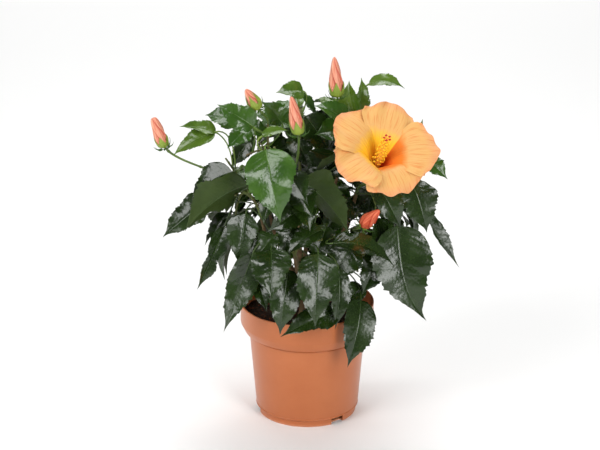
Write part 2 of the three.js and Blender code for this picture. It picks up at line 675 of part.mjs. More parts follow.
// The seeded rule: leaves turn by the golden angle around the shoots, head outward and droop
function growLeaves(mass, shoots) {
  const draw = seededNumbers(mass.seed * 2000 + 3);
  const leaves = [];
  for (let attempt = 0; attempt < GROWING_TRIES && leaves.length < mass.grown; attempt += 1) {
    const shoot = shoots[attempt % shoots.length];
    const root = shoot.curve.getPoint(0.2 + 0.78 * draw());
    const turn = mass.seed + attempt * GOLDEN_ANGLE;
    const away = unit(new THREE.Vector3(root.x - CROWN_AXIS.x, root.y - CROWN_AXIS.y, 0));
    const heading = away.clone().multiplyScalar(0.8)
      .add(new THREE.Vector3(0.75 * Math.cos(turn), 0.75 * Math.sin(turn), 0.7 - 1.1 * draw())).normalize();
    const share = 1 - (1 - LAST_LEAF_SHARE) * (attempt / GROWING_TRIES);
    const stalk = share * (10 + 16 * draw());
    const base = root.clone().addScaledVector(heading, stalk);
    const fall = heading.clone().addScaledVector(UP, -0.2 - 0.9 * draw()).normalize();
    const length = share * (44 + 26 * draw());
    const tip = base.clone().addScaledVector(fall, length);
    const face = [0.5 * away.x, 0.5 * away.y, 0.9];
    const leaf = { base: base.toArray(), tip: tip.toArray(), width: length * (0.56 + 0.1 * draw()), face };
    leaf.fold = 10 + 12 * draw();
    leaf.arch = 0.06 + 0.1 * draw();
    const blade = bladeOf(leaf);
    const stalkCurve = stalkOf(blade, root);
    const bladeRoom = bladeMarks(blade);
    const stalkRoom = curveMarks(stalkCurve, 6, SPACE_STALK).slice(2);
    if (staysInside(bladeRoom, mass) && isFree(bladeRoom, mass.name) && isFree(stalkRoom, mass.name)) {
      take([...bladeRoom, ...stalkRoom], mass.name);
      leaves.push({ blade, stalkCurve, stalkSteps: 1 });
    }
  }
  return leaves;
}

function shownLeaves(mass, shoots) {
  const roots = rootPlaces(shoots);
  return mass.shown.map((leaf) => {
    const blade = bladeOf(leaf);
    const stalkCurve = stalkOf(blade, takeNearest(roots, blade.midrib.getPoint(0)));
    take([...bladeMarks(blade), ...curveMarks(stalkCurve, 6, SPACE_STALK)], mass.name);
    return { blade, stalkCurve, stalkSteps: 2 };
  });
}

function makeShoot(shoot) {
  return limbAlong(shoot.curve, shoot.radii, 3, 4);
}

// Bud: green calyx around furled petals, on a stalk that goes on from the end of its shoot
function flowerStalk(carrier, foot, heading) {
  const lead = carrier.getTangent(1);
  const start = carrier.getPoint(1).addScaledVector(lead, CLEARANCE);
  const length = start.distanceTo(foot);
  return new THREE.CubicBezierCurve3(
    start,
    start.clone().addScaledVector(lead, 0.3 * length),
    foot.clone().addScaledVector(heading, -0.2 * length),
    foot.clone().addScaledVector(heading, 3),
  );
}

function makeBud(bud, carrier) {
  const foot = vector(bud.foot);
  const tip = vector(bud.tip);
  const heading = unit(tip.clone().sub(foot));
  const stalk = flowerStalk(carrier, foot, heading);
  const shares = [0, 0.08, 0.24, 0.42, 0.66, 0.88, 1];
  const girth = [0.2, 0.62, 0.9, 1, 0.84, 0.42, 0.06];
  const body = limb(
    shares.map((share) => foot.clone().lerp(tip, share)),
    girth.map((share) => (share * bud.width) / 2),
    7,
  );
  return fuse([limbAlong(stalk, [SHOOT_TIP_RADIUS, 1.2], 5, 4), body]);
}

// Bloom: five broad ruffled petals around a tube of stamens, in a green calyx on its stalk
function bloomFrame() {
  const axis = vector(bloom.axis).normalize();
  const right = unit(new THREE.Vector3().crossVectors(UP, axis));
  const top = new THREE.Vector3().crossVectors(axis, right);
  return { axis, right, top, throat: vector(bloom.throat) };
}

function petalTurns() {
  const first = THREE.MathUtils.degToRad(bloom.petalTurn);
  return spread(0, bloom.petals - 1, bloom.petals - 1).map((i) => first + (2 * Math.PI * i) / bloom.petals);
}

// A place on a petal: v runs from its claw to its edge, a from one side to the other
function petalPlace(frame, turn, v, a) {
  const outward = frame.right.clone().multiplyScalar(Math.cos(turn))
    .addScaledVector(frame.top, Math.sin(turn));
  const sideways = new THREE.Vector3().crossVectors(frame.axis, outward);
  const radius = 3 + (bloom.radius - 3) * v - bloom.cornerDrop * a * a * v * v;
  const funnel = bloom.funnelRise * (1 - (1 - v) ** 2.2) - bloom.throatDepth * Math.exp(-8 * v);
  const half = (bloom.petalWidth / 2) * Math.sin(Math.PI * (0.05 + 0.62 * v));
  const ruffle = bloom.ruffle * v * v * Math.abs(a) * Math.sin(8.5 * a + 4 * turn) + 3 * a * v;
  return frame.throat.clone()
    .addScaledVector(outward, radius)
    .addScaledVector(sideways, a * half)
    .addScaledVector(frame.axis, funnel + ruffle);
}

function makePetal(frame, turn) {
  const rows = spread(0, 1, 4);
  const columns = [-1, -0.5, 0, 0.5, 1];
  const thick = 1;
  const corners = [];
  [thick / 2, -thick / 2].forEach((lift) => rows.forEach((v) => columns.forEach((a) => {
    const place = petalPlace(frame, turn, v, a);
    const alongRow = petalPlace(frame, turn, v, a + 0.05).sub(petalPlace(frame, turn, v, a - 0.05));
    const alongColumn = petalPlace(frame, turn, Math.min(v + 0.02, 1), a)
      .sub(petalPlace(frame, turn, Math.max(v - 0.02, 0), a));
    const normal = unit(new THREE.Vector3().crossVectors(alongColumn, alongRow)).negate();
    corners.push(place.addScaledVector(normal, lift));
  })));
  const wide = columns.length;
  const under = rows.length * wide;
  const triangles = [];
  const quad = (p, q, r, s) => triangles.push([p, q, r], [p, r, s]);
  for (let i = 0; i < rows.length - 1; i += 1) {
    for (let k = 0; k < wide - 1; k += 1) {
      const p = i * wide + k;
      quad(p, p + 1, p + wide + 1, p + wide);
      quad(under + p, under + p + wide, under + p + wide + 1, under + p + 1);
    }
    const left = i * wide;
    const right = left + wide - 1;
    quad(left, left + wide, under + left + wide, under + left);
    quad(right, under + right, under + right + wide, right + wide);
  }
  for (let k = 0; k < wide - 1; k += 1) {
    const outer = (rows.length - 1) * wide + k;
    quad(k, under + k, under + k + 1, k + 1);
    quad(outer, outer + 1, under + outer + 1, under + outer);
  }
  return bodyFrom(corners, triangles);
}

function makeBloom(carrier) {
  const frame = bloomFrame();
  const along = (distance) => frame.throat.clone().addScaledVector(frame.axis, distance);
  const foot = along(-bloom.stalkFoot);
  const stalk = flowerStalk(carrier, foot, frame.axis);
  const petals = petalTurns().map((turn) => makePetal(frame, turn));
  const calyx = limb([-24, -21, -13, -6].map(along), [1.6, 5, 6.6, 7.2], 8);
  const tubeEnd = bloom.columnLength - 4;
  const column = limb([-12, 0, 20, tubeEnd].map(along), [4, 2.4, 1.9, 1.7], 6);
  const anthers = limb([18, 22, 36, tubeEnd, bloom.columnLength].map(along), [1, 4.6, 5.2, 4.2, 2], 7);
  return fuse([
    limbAlong(stalk, [BOUGH_TIP_RADIUS, 1.6], 6, 5),
    calyx, column, anthers, ...petals,
  ]);
}

// The whole plant, grown in order: limbs, shoots, blossom, shown leaves, then grown leaves
const shootsOf = Object.fromEntries(masses.map((mass) => [mass.name, growShoots(mass)]));
const boughOf = Object.fromEntries(boughs.map((bough) => [bough.name, boughCurve(bough)]));

boughs.forEach((bough) => {
  take(curveMarks(boughOf[bough.name], 24, BOUGH_ROOT_RADIUS + 0.8), `bough ${bough.name}`);
});
masses.forEach((mass) => shootsOf[mass.name].forEach((shoot) => {
  take(curveMarks(shoot.curve, 12, SPACE_STALK + 0.4), mass.name);
}));
buds.forEach((bud) => {
  const foot = vector(bud.foot);
  const heading = unit(vector(bud.tip).sub(foot));
  const stalk = flowerStalk(shootsOf[bud.mass][bud.shoot].curve, foot, heading);
  const axis = new THREE.LineCurve3(foot, vector(bud.tip));
  take([...curveMarks(stalk, 10, SPACE_STALK), ...curveMarks(axis, 8, bud.width / 2)], `bud ${bud.name}`);
});
skyGaps.forEach((gap) => spread(-GAP_DEPTH, GAP_DEPTH, 20).forEach((depth) => {
  take([{ at: vector(gap.at).addScaledVector(GAP_SIGHT, depth), space: gap.radius }], 'sky');
}));
const openBloom = bloomFrame();
petalTurns().forEach((turn) => {
  spread(0.1, 1, 7).forEach((v) => spread(-1, 1, 7).forEach((a) => {
    take([{ at: petalPlace(openBloom, turn, v, a), space: SPACE_BLADE }], 'bloom');
  }));
});
const bloomStalk = flowerStalk(
  boughOf.bloom,
  openBloom.throat.clone().addScaledVector(openBloom.axis, -bloom.stalkFoot),
  openBloom.axis,
);
take(curveMarks(bloomStalk, 10, SPACE_STALK + 0.6), 'bloom');
take(curveMarks(new THREE.LineCurve3(bloomStalk.getPoint(1), openBloom.throat), 5, 7), 'bloom');

const leavesOf = {};
masses.forEach((mass) => {
  leavesOf[mass.name] = shownLeaves(mass, shootsOf[mass.name]);
});
masses.forEach((mass) => leavesOf[mass.name].push(...growLeaves(mass, shootsOf[mass.name])));

function makeMass(mass) {
  const parts = shootsOf[mass.name].map(makeShoot);
  parts.push(...leavesOf[mass.name].map(makeLeaf));
  return fuse(parts);
}

const plastic = new THREE.MeshStandardMaterial({ color: 0xc9744c, roughness: 0.42, metalness: 0 });
const soilLook = new THREE.MeshStandardMaterial({ color: 0x2a1a12, roughness: 0.95, metalness: 0 });
const bark = new THREE.MeshStandardMaterial({ color: 0x6b5a3e, roughness: 0.85, metalness: 0 });
const leafGreen = new THREE.MeshStandardMaterial({ color: 0x274f22, roughness: 0.35, metalness: 0 });
const petalApricot = new THREE.MeshStandardMaterial({ color: 0xf7b568, roughness: 0.6, metalness: 0 });
const budSalmon = new THREE.MeshStandardMaterial({ color: 0xe2785a, roughness: 0.6, metalness: 0 });

const plant = new THREE.Group();

function addPiece(name, solid, look) {
  const piece = new THREE.Mesh(geometryOf(solid), look.clone());
  piece.name = name;
  plant.add(piece);
}

addPiece('pot', makePot(), plastic);
addPiece('soil', makeSoil(), soilLook);
addPiece('trunk', makeTrunk(0), bark);
const trunkSpace = makeTrunk(CLEARANCE);
boughs.forEach((bough) => addPiece(`bough_${bough.name}`, makeBough(bough, trunkSpace), bark));
masses.forEach((mass) => addPiece(`foliage_${mass.name}`, makeMass(mass), leafGreen));
addPiece('bloom', makeBloom(boughOf.bloom), petalApricot);
buds.forEach((bud) => {
  addPiece(`bud_${bud.name}`, makeBud(bud, shootsOf[bud.mass][bud.shoot].curve), budSalmon);
});

export default plant;
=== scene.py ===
import math

import bpy
import numpy as np
from mathutils import Matrix, Vector, noise


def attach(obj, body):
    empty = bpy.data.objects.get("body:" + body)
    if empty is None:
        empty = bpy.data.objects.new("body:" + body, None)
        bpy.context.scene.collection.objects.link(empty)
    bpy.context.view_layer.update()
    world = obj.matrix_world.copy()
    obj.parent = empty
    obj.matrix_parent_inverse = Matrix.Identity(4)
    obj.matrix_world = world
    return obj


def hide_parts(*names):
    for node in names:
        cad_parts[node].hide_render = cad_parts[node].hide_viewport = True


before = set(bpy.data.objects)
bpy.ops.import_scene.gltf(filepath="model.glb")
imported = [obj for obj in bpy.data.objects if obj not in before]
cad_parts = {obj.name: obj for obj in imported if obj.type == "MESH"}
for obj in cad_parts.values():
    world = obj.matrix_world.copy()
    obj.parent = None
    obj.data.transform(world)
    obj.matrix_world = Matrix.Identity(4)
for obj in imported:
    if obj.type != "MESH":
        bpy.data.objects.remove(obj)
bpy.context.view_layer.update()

# Studio: a plain pale floor lit by soft boxes at the left, at the right and above, with a wash of
# light on the floor behind the plant, and a camera 2.2 m back that looks down on the crown.
CAMERA_DISTANCE = 2.2
CAMERA_PITCH = math.radians(20.5)
CAMERA_TARGET = Vector((-0.007, 0.0, 0.192))
METRES_PER_PIXEL = 0.000962
PICTURE_WIDTH = 600
SENSOR_WIDTH = 36.0
FLOOR_SIZE = 12.0
FLOOR_WHITE = (0.93, 0.93, 0.925, 1.0)
FLOOR_FAR_SIDE = (0, 3.4, 0)
SKY_LIGHT = (1.0, 1.0, 1.0, 1.0)
SKY_STRENGTH = 0.11

scene = bpy.context.scene
scene.view_settings.view_transform = "Standard"


def link(data, name):
    thing = bpy.data.objects.new(name, data)
    scene.collection.objects.link(thing)
    return thing


def aim(thing, target):
    thing.rotation_euler = (Vector(target) - thing.location).to_track_quat("-Z", "Y").to_euler()


camera = link(bpy.data.cameras.new("camera"), "camera")
to_camera = Vector((0, -math.cos(CAMERA_PITCH), math.sin(CAMERA_PITCH)))
camera.location = CAMERA_TARGET + CAMERA_DISTANCE * to_camera
aim(camera, CAMERA_TARGET)
camera.data.sensor_width = SENSOR_WIDTH
camera.data.lens = SENSOR_WIDTH * CAMERA_DISTANCE / (PICTURE_WIDTH * METRES_PER_PIXEL)
scene.camera = camera


def softbox(name, place, size, watts, target=CAMERA_TARGET):
    """A soft rectangular light of the given width and height, aimed at the plant or the target"""
    lamp = link(bpy.data.lights.new(name, "AREA"), name)
    lamp.data.shape = "RECTANGLE"
    lamp.data.size, lamp.data.size_y = size
    lamp.data.energy = watts
    lamp.location = place
    aim(lamp, target)


softbox("softbox_left", (-1.1, -1.1, 1.2), (0.9, 1.1), 19)
softbox("softbox_right", (0.85, -1.4, 0.8), (0.6, 1.2), 18.5)
softbox("strip_left", (-1.4, -0.05, 0.5), (0.3, 1.3), 5)
softbox("softbox_top", (0.1, 0.45, 1.5), (0.9, 0.8), 11)
softbox("floor_wash", (0, 2.9, 2.6), (4.0, 1.6), 105, FLOOR_FAR_SIDE)

world = bpy.data.worlds.new("studio")
world.use_nodes = True
sky = world.node_tree.nodes["Background"]
sky.inputs["Color"].default_value = SKY_LIGHT
sky.inputs["Strength"].default_value = SKY_STRENGTH
scene.world = world


def set_up(node, **values):
    """A name with a capital is one of the node's inputs, and any other is a setting"""
    for name, value in values.items():
        if name[0].isupper():
            node.inputs[name.replace("_", " ")].default_value = value
        else:
            setattr(node, name, value)


def new_material(name, **shader_values):
    """A material with its own shader, whose uniform values are set on the shader's sockets"""
    material = bpy.data.materials.new(name)
    material.use_nodes = True
    shader = material.node_tree.nodes["Principled BSDF"]
    set_up(shader, **shader_values)
    return material, material.node_tree, shader


bpy.ops.mesh.primitive_plane_add(size=FLOOR_SIZE)
floor = bpy.context.object
floor.name = "floor"
floor_paint, _, _ = new_material("floor_paint", Base_Color=FLOOR_WHITE, Roughness=0.9, Specular_IOR_Level=0.1)
floor.data.materials.append(floor_paint)

# Pot: a thin plastic nursery pot, moulded in one piece with a collar under its rim, a foot ring
# and three drainage notches. The plastic is terracotta-coloured and has a satin skin.
MM = 0.001
POT_HEIGHT = 114.0
RIM_RADIUS = 65.0
COLLAR_STRAIGHT_FOOT = 94.0
COLLAR_BOTTOM = 85.6
COLLAR_BOTTOM_RADIUS = 61.0
BODY_TOP_RADIUS = 56.6
BODY_FOOT_RADIUS = 50.0
FOOT_HEIGHT = 8.0
FOOT_RADIUS = 48.0
POT_WALL = 1.5
LIP_RADIUS = 0.7
DRAIN_RADIUS = 3.0
POT_SIDES = 160
NOTCH_ANGLES = (-52, 68, 188)
NOTCH_WIDTH_ANGLE = 17
NOTCH_HEIGHT = 6.0
NOTCH_DEPTH = 5.0
CREASE_SINK = 0.7
FOOT_BEAD = 0.35


def linear(red, green, blue):
    """A colour given by its screen values from 0 to 1, as the shader reads it"""
    bent = [c / 12.92 if c <= 0.04045 else ((c + 0.055) / 1.055) ** 2.4 for c in (red, green, blue)]
    return (*bent, 1.0)


TERRACOTTA = linear(0.74, 0.44, 0.275)
TERRACOTTA_SHADE = linear(0.70, 0.40, 0.24)
# A paler colour at the foot: wear from rubbing, and a painted highlight
SCUFF_AND_HIGHLIGHT = linear(0.86, 0.62, 0.48)
# The foot is paler from the first height down to the ground, in metres: partly wear from rubbing, and partly
# a painted highlight along its lower edge
RUB_AND_HIGHLIGHT_HEIGHTS = (0.0004, 0.0028)
SHARP_EDGE = 30


def new_node(tree, kind, **values):
    node = tree.nodes.new(f"ShaderNode{kind}")
    set_up(node, **values)
    return node


def wire(tree, *paths):
    """Join outputs to inputs, each path given as a node, its output, the next node and its input"""
    for source, output, target, entry in paths:
        tree.links.new(source.outputs[output], target.inputs[entry])


def new_group(name, inputs, outputs):
    """An empty node group with its named sockets: a kind and a default for each input"""
    tree = bpy.data.node_groups.new(name, "ShaderNodeTree")
    for label, (kind, default) in inputs.items():
        entry = tree.interface.new_socket(label, in_out="INPUT", socket_type=f"NodeSocket{kind}")
        entry.default_value = default
    for label, kind in outputs.items():
        tree.interface.new_socket(label, in_out="OUTPUT", socket_type=f"NodeSocket{kind}")
    return tree, tree.nodes.new("NodeGroupInput"), tree.nodes.new("NodeGroupOutput")


def make_mottle():
    """Soft cloudy change between two colours, with the mask that made it"""
    colours = {"Low Colour": ("Color", (0, 0, 0, 1)), "High Colour": ("Color", (1, 1, 1, 1))}
    tree, given, out = new_group(
        "mottle", {"Scale": ("Float", 20.0), "Contrast": ("Float", 1.0), **colours},
        {"Colour": "Color", "Mask": "Float"})
    place = new_node(tree, "TexCoord")
    cloud = new_node(tree, "TexNoise", Detail=4, Roughness=0.6)
    centred = new_node(tree, "Math", operation="SUBTRACT")
    centred.inputs[1].default_value = 0.5
    mask = new_node(tree, "Math", operation="MULTIPLY_ADD", use_clamp=True)
    mask.inputs[2].default_value = 0.5
    mix = new_node(tree, "Mix", data_type="RGBA")
    wire(tree, (place, "Object", cloud, "Vector"), (given, "Scale", cloud, "Scale"),
         (cloud, "Fac", centred, 0), (centred, 0, mask, 0), (given, "Contrast", mask, 1),
         (mask, 0, mix, "Factor"), (given, "Low Colour", mix, "A"), (given, "High Colour", mix, "B"),
         (mix, "Result", out, "Colour"), (mask, 0, out, "Mask"))
    return tree


def make_grain():
    """Fine surface grain: a height for a bump, longer along one axis if stretched"""
    tree, given, out = new_group(
        "grain", {"Scale": ("Float", 400.0), "Stretch": ("Vector", (1, 1, 1))}, {"Height": "Float"})
    place = new_node(tree, "TexCoord")
    squeeze = new_node(tree, "VectorMath", operation="MULTIPLY")
    cloud = new_node(tree, "TexNoise", Detail=3)
    wire(tree, (place, "Object", squeeze, 0), (given, "Stretch", squeeze, 1),
         (squeeze, 0, cloud, "Vector"), (given, "Scale", cloud, "Scale"), (cloud, "Fac", out, "Height"))
    return tree


MOTTLE = make_mottle()
GRAIN = make_grain()


def dress(thing, slot_name, *cad_nodes):
    """The piece moves with the plant's one body and stands for the given nodes"""
    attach(thing, "root")
    if cad_nodes:
        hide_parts(*cad_nodes)


def arc(centre, radius, start, end, steps):
    """Points of a rounded corner of an outline, in radius and height"""
    turns = np.radians(np.linspace(start, end, steps + 1))
    return [(centre[0] + radius * math.cos(t), centre[1] + radius * math.sin(t)) for t in turns]


def band_faces(rows, sides, first=0, closed=False, turned_over=False):
    """Faces that join rows of corners round a form, each row to the next, and the last to the
    first where the form closes on itself"""
    faces = []
    for i in range(rows if closed else rows - 1):
        low, high = first + i * sides, first + (i + 1) % rows * sides
        for k in range(sides):
            n = (k + 1) % sides
            face = (low + k, low + n, high + n, high + k)
            faces.append((face[0], *face[:0:-1]) if turned_over else face)
    return faces


def full_circle(steps):
    return np.linspace(0, 2 * math.pi, steps, endpoint=False)


def turned(outline, sides):
    """Corners and faces of a form turned round the upright axis. The outline closes on itself."""
    rings = [[(radius * math.cos(t), radius * math.sin(t), height) for t in full_circle(sides)]
             for radius, height in outline]
    return np.array(rings).reshape(-1, 3), band_faces(len(outline), sides, closed=True)


def mesh_piece(name, corners, faces, materials, smooth_angle=40.0):
    mesh = bpy.data.meshes.new(name)
    mesh.from_pydata((np.asarray(corners) * MM).tolist(), [], faces)
    for material in materials:
        mesh.materials.append(material)
    mesh.shade_smooth()
    if smooth_angle:
        mesh.set_sharp_from_angle(angle=math.radians(smooth_angle))
    return link(mesh, name)


def pot_outline():
    """Radius and height along the pot's skin, up the outside and down the inside"""
    inner = RIM_RADIUS - POT_WALL
    crease = BODY_TOP_RADIUS - CREASE_SINK
    return [
        (DRAIN_RADIUS, 0.0), (FOOT_RADIUS - 0.8, 0.0),
        *arc((FOOT_RADIUS - 0.8, 0.8), 0.8, -90, 0, 4),
        (FOOT_RADIUS + 0.1, FOOT_HEIGHT - 1.4),
        *arc((BODY_FOOT_RADIUS - 0.7 + FOOT_BEAD, FOOT_HEIGHT), 0.7, -80, 70, 7),
        (BODY_FOOT_RADIUS + 0.1, FOOT_HEIGHT + 1.2), (BODY_TOP_RADIUS - 0.25, COLLAR_BOTTOM - 3.4),
        (crease, COLLAR_BOTTOM - 2.7), (crease, COLLAR_BOTTOM),
        *arc((COLLAR_BOTTOM_RADIUS - 0.4, COLLAR_BOTTOM + 0.4), 0.4, -90, -20, 4),
        (RIM_RADIUS - 0.35, COLLAR_STRAIGHT_FOOT - 0.6), (RIM_RADIUS, COLLAR_STRAIGHT_FOOT + 0.6),
        (RIM_RADIUS - 0.1, POT_HEIGHT - 3.2), (RIM_RADIUS, POT_HEIGHT - 2.6),
        *arc((RIM_RADIUS - LIP_RADIUS, POT_HEIGHT - LIP_RADIUS), LIP_RADIUS, 0, 90, 5),
        *arc((inner + 0.4, POT_HEIGHT - 0.4), 0.4, 90, 180, 3),
        (inner, COLLAR_STRAIGHT_FOOT + 0.5), (COLLAR_BOTTOM_RADIUS - POT_WALL, COLLAR_BOTTOM + POT_WALL),
        (BODY_TOP_RADIUS - POT_WALL, COLLAR_BOTTOM), (FOOT_RADIUS - POT_WALL, POT_WALL),
        (DRAIN_RADIUS, POT_WALL),
    ]


def notch_block(angle):
    """A wedge of the foot ring, wide at its outer side, that a drainage notch takes away"""
    half = NOTCH_WIDTH_ANGLE / 2
    below_foot, past_foot = -2.0, BODY_FOOT_RADIUS + 4
    corners = []
    for height in (below_foot, NOTCH_HEIGHT):
        for radius in (FOOT_RADIUS - NOTCH_DEPTH, past_foot):
            for turn in np.radians(np.linspace(angle - half, angle + half, 5)):
                corners.append((radius * math.cos(turn), radius * math.sin(turn), height))
    faces = []
    for k in range(4):
        faces += [(k, k + 1, k + 6, k + 5), (k + 10, k + 15, k + 16, k + 11)]
        faces += [(k, k + 10, k + 11, k + 1), (k + 5, k + 6, k + 16, k + 15)]
    faces += [(0, 5, 15, 10), (4, 14, 19, 9)]
    return mesh_piece(f"notch_{angle}", corners, faces, [], 0)


def cut_away(thing, blocks):
    for block in blocks:
        cut = thing.modifiers.new("cut", "BOOLEAN")
        cut.operation = "DIFFERENCE"
        cut.solver = "EXACT"
        cut.object = block
    shaped = bpy.data.meshes.new_from_object(thing.evaluated_get(bpy.context.evaluated_depsgraph_get()))
    thing.modifiers.clear()
    thing.data = shaped
    for block in blocks:
        bpy.data.objects.remove(block)


def pot_finish():
    """Satin plastic with soft cloudy streaks, and paler at the foot: wear from rubbing, and a painted
    highlight
    """
    material, tree, shader = new_material("satin_plastic", Specular_IOR_Level=0.3)
    mottle = new_node(tree, "Group", node_tree=MOTTLE, Scale=26.0, Contrast=1.6,
                      Low_Colour=TERRACOTTA_SHADE, High_Colour=TERRACOTTA)
    place = new_node(tree, "TexCoord")
    split = new_node(tree, "SeparateXYZ")
    # The pale band at the foot is wear from rubbing and a painted highlight, broken up by flecks
    rub_and_highlight_band = new_node(tree, "MapRange", From_Min=RUB_AND_HIGHLIGHT_HEIGHTS[1], From_Max=RUB_AND_HIGHLIGHT_HEIGHTS[0])
    flecks = new_node(tree, "Group", node_tree=GRAIN, Scale=260.0, Stretch=(1, 1, 2.5))
    rub_and_highlight_mask = new_node(tree, "Math", operation="MULTIPLY")
    mix = new_node(tree, "Mix", data_type="RGBA", B=SCUFF_AND_HIGHLIGHT)
    sheen = new_node(tree, "MapRange", To_Min=0.27, To_Max=0.38)
    skin = new_node(tree, "Group", node_tree=GRAIN, Scale=900.0)
    bump = new_node(tree, "Bump", Strength=0.12, Distance=0.0002)
    wire(tree, (place, "Object", split, 0), (split, "Z", rub_and_highlight_band, "Value"), (rub_and_highlight_band, "Result", rub_and_highlight_mask, 0),
         (flecks, "Height", rub_and_highlight_mask, 1), (rub_and_highlight_mask, 0, mix, "Factor"), (mottle, "Colour", mix, "A"),
         (mix, "Result", shader, "Base Color"), (mottle, "Mask", sheen, "Value"),
         (sheen, "Result", shader, "Roughness"), (skin, "Height", bump, "Height"),
         (bump, "Normal", shader, "Normal"))
    return material


pot = mesh_piece("pot_body", *turned(pot_outline(), POT_SIDES), [pot_finish()], SHARP_EDGE)
cut_away(pot, [notch_block(angle) for angle in NOTCH_ANGLES])
pot.data.set_sharp_from_angle(angle=math.radians(SHARP_EDGE))
dress(pot, "pot_plastic", "pot")

# Potting mix: dark moist peat with bark crumbs, slightly heaped round the trunk. It is filled
# loose into the pot to 14 mm below the rim, and its crumbs stand up from the surface.
SOIL_TOP = 100.0
SOIL_SINK = 0.6
SOIL_CROWN = 1.6
SOIL_CROWN_REACH = 24
SOIL_RINGS = 46
SOIL_SIDES = 150
SOIL_ROUGHNESS = 1.3
SOIL_MIDDLE = 1.5
SOIL_RIM = RIM_RADIUS - POT_WALL - 0.3
CRUMBS_REACH = RIM_RADIUS - POT_WALL - 3.0
CRUMBS = 1500
CRUMB_SIZE = (0.7, 2.6)
PEAT = linear(0.09, 0.065, 0.05)
PEAT_LIGHT = linear(0.24, 0.16, 0.11)
BARK_CRUMB = linear(0.46, 0.24, 0.14)
CRUMB_KINDS = {"dark": (0.75, PEAT), "bark": (0.25, BARK_CRUMB)}
# How far a natural finish is rougher or smoother from place to place
GLOSS_DRIFT = 0.06


def soil_height(x, y):
    """Height of the crumbly surface: a low heap at the trunk and lumps of two sizes"""
    radius = math.hypot(x, y)
    heap = SOIL_TOP - SOIL_SINK + SOIL_CROWN * math.exp(-((radius / SOIL_CROWN_REACH) ** 2))
    lumps = 0.7 * noise.noise(0.09 * Vector((x, y, 3.0))) + 0.5 * noise.noise(0.35 * Vector((x, y, 7.0)))
    return heap + SOIL_ROUGHNESS * lumps


class Bundle:
    """Many like pieces joined into one mesh, each with its corners, faces and material place"""

    def __init__(self):
        self.corners = []
        self.faces = []
        self.slots = []
        self.count = 0

    def add(self, corners, faces, slots=None):
        self.corners.append(np.asarray(corners, float))
        self.faces += [tuple(index + self.count for index in face) for face in faces]
        self.slots += slots or [0] * len(faces)
        self.count += len(corners)

    def make(self, name, materials, smooth_angle=60.0):
        made = mesh_piece(name, np.concatenate(self.corners), self.faces, materials, smooth_angle)
        made.data.polygons.foreach_set("material_index", self.slots)
        return made


def natural_finish(name, low, high, scale, roughness, relief=GRAIN, relief_scale=300.0, depth=0.00015,
                   strength=0.35, contrast=2.2, gloss=0.5, **relief_values):
    """A material whose colour drifts between two tones, with a relief, and a gloss that drifts too"""
    material, tree, shader = new_material(name, Specular_IOR_Level=gloss)
    mottle = new_node(tree, "Group", node_tree=MOTTLE, Scale=scale, Contrast=contrast, Low_Colour=low,
                      High_Colour=high)
    grain = new_node(tree, "Group", node_tree=relief, Scale=relief_scale, **relief_values)
    sheen = new_node(tree, "MapRange", To_Min=roughness - GLOSS_DRIFT, To_Max=roughness + GLOSS_DRIFT)
    bump = new_node(tree, "Bump", Strength=strength, Distance=depth)
    wire(tree, (mottle, "Colour", shader, "Base Color"), (mottle, "Mask", sheen, "Value"),
         (sheen, "Result", shader, "Roughness"), (grain, "Height", bump, "Height"),
         (bump, "Normal", shader, "Normal"))
    return material


def make_soil():
    """The crumbly top in rings from the middle out, then the side down the wall, and a flat foot"""
    radii = np.linspace(SOIL_MIDDLE, SOIL_RIM, SOIL_RINGS + 1)
    side = [(RIM_RADIUS - POT_WALL - 0.4, COLLAR_STRAIGHT_FOOT + 1.5),
            (BODY_TOP_RADIUS - POT_WALL - 0.5, COLLAR_BOTTOM),
            (FOOT_RADIUS - NOTCH_DEPTH - 1, FOOT_HEIGHT + 2)]
    corners = [(0.0, 0.0, soil_height(0, 0))]
    for radius, height in [(radius, None) for radius in radii] + side:
        for turn in full_circle(SOIL_SIDES):
            x, y = radius * math.cos(turn), radius * math.sin(turn)
            corners.append((x, y, soil_height(x, y) if height is None else height))
    faces = [(0, 1 + k, 1 + (k + 1) % SOIL_SIDES) for k in range(SOIL_SIDES)]
    faces += band_faces(len(radii) + len(side), SOIL_SIDES, first=1, turned_over=True)
    faces.append(tuple(range(len(corners) - 1, len(corners) - 1 - SOIL_SIDES, -1)))
    return corners, faces


OCTAHEDRON = np.array([(1, 0, 0), (-1, 0, 0), (0, 1, 0), (0, -1, 0), (0, 0, 1), (0, 0, -1)], float)
OCTAHEDRON_FACES = [(0, 2, 4), (2, 1, 4), (1, 3, 4), (3, 0, 4), (2, 0, 5), (1, 2, 5), (3, 1, 5), (0, 3, 5)]


def scatter_crumbs(draw, count, bundle):
    for _ in range(count):
        radius = CRUMBS_REACH * math.sqrt(draw.random())
        turn = draw.uniform(0, 2 * math.pi)
        x, y = radius * math.cos(turn), radius * math.sin(turn)
        size = draw.uniform(*CRUMB_SIZE) * np.array([1.0, draw.uniform(0.5, 1.0), draw.uniform(0.3, 0.7)])
        spin = np.array(Matrix.Rotation(draw.uniform(0, 6.28), 3, "Z"))
        tip_over = np.array(Matrix.Rotation(draw.uniform(-0.6, 0.6), 3, "X"))
        shape = OCTAHEDRON * (0.8 + 0.4 * draw.random((6, 1))) * size
        bundle.add(shape @ tip_over.T @ spin.T + (x, y, soil_height(x, y) + 0.1), OCTAHEDRON_FACES)


peat = natural_finish("moist_peat", PEAT, PEAT_LIGHT, 90.0, 0.92, relief_scale=700.0, depth=0.0008,
                      strength=0.9, gloss=0.25)
dress(mesh_piece("potting_mix", *make_soil(), [peat], 0), "potting_mix", "soil")
crumb_draw = np.random.default_rng(5)
for kind, (share, tone) in CRUMB_KINDS.items():
    crumbs = Bundle()
    scatter_crumbs(crumb_draw, int(CRUMBS * share), crumbs)
    crumb_skin = natural_finish(f"{kind}_crumb", tone, PEAT_LIGHT, 200.0, 0.9, gloss=0.2)
    dress(crumbs.make(f"{kind}_crumbs", [crumb_skin], 20), "potting_mix")

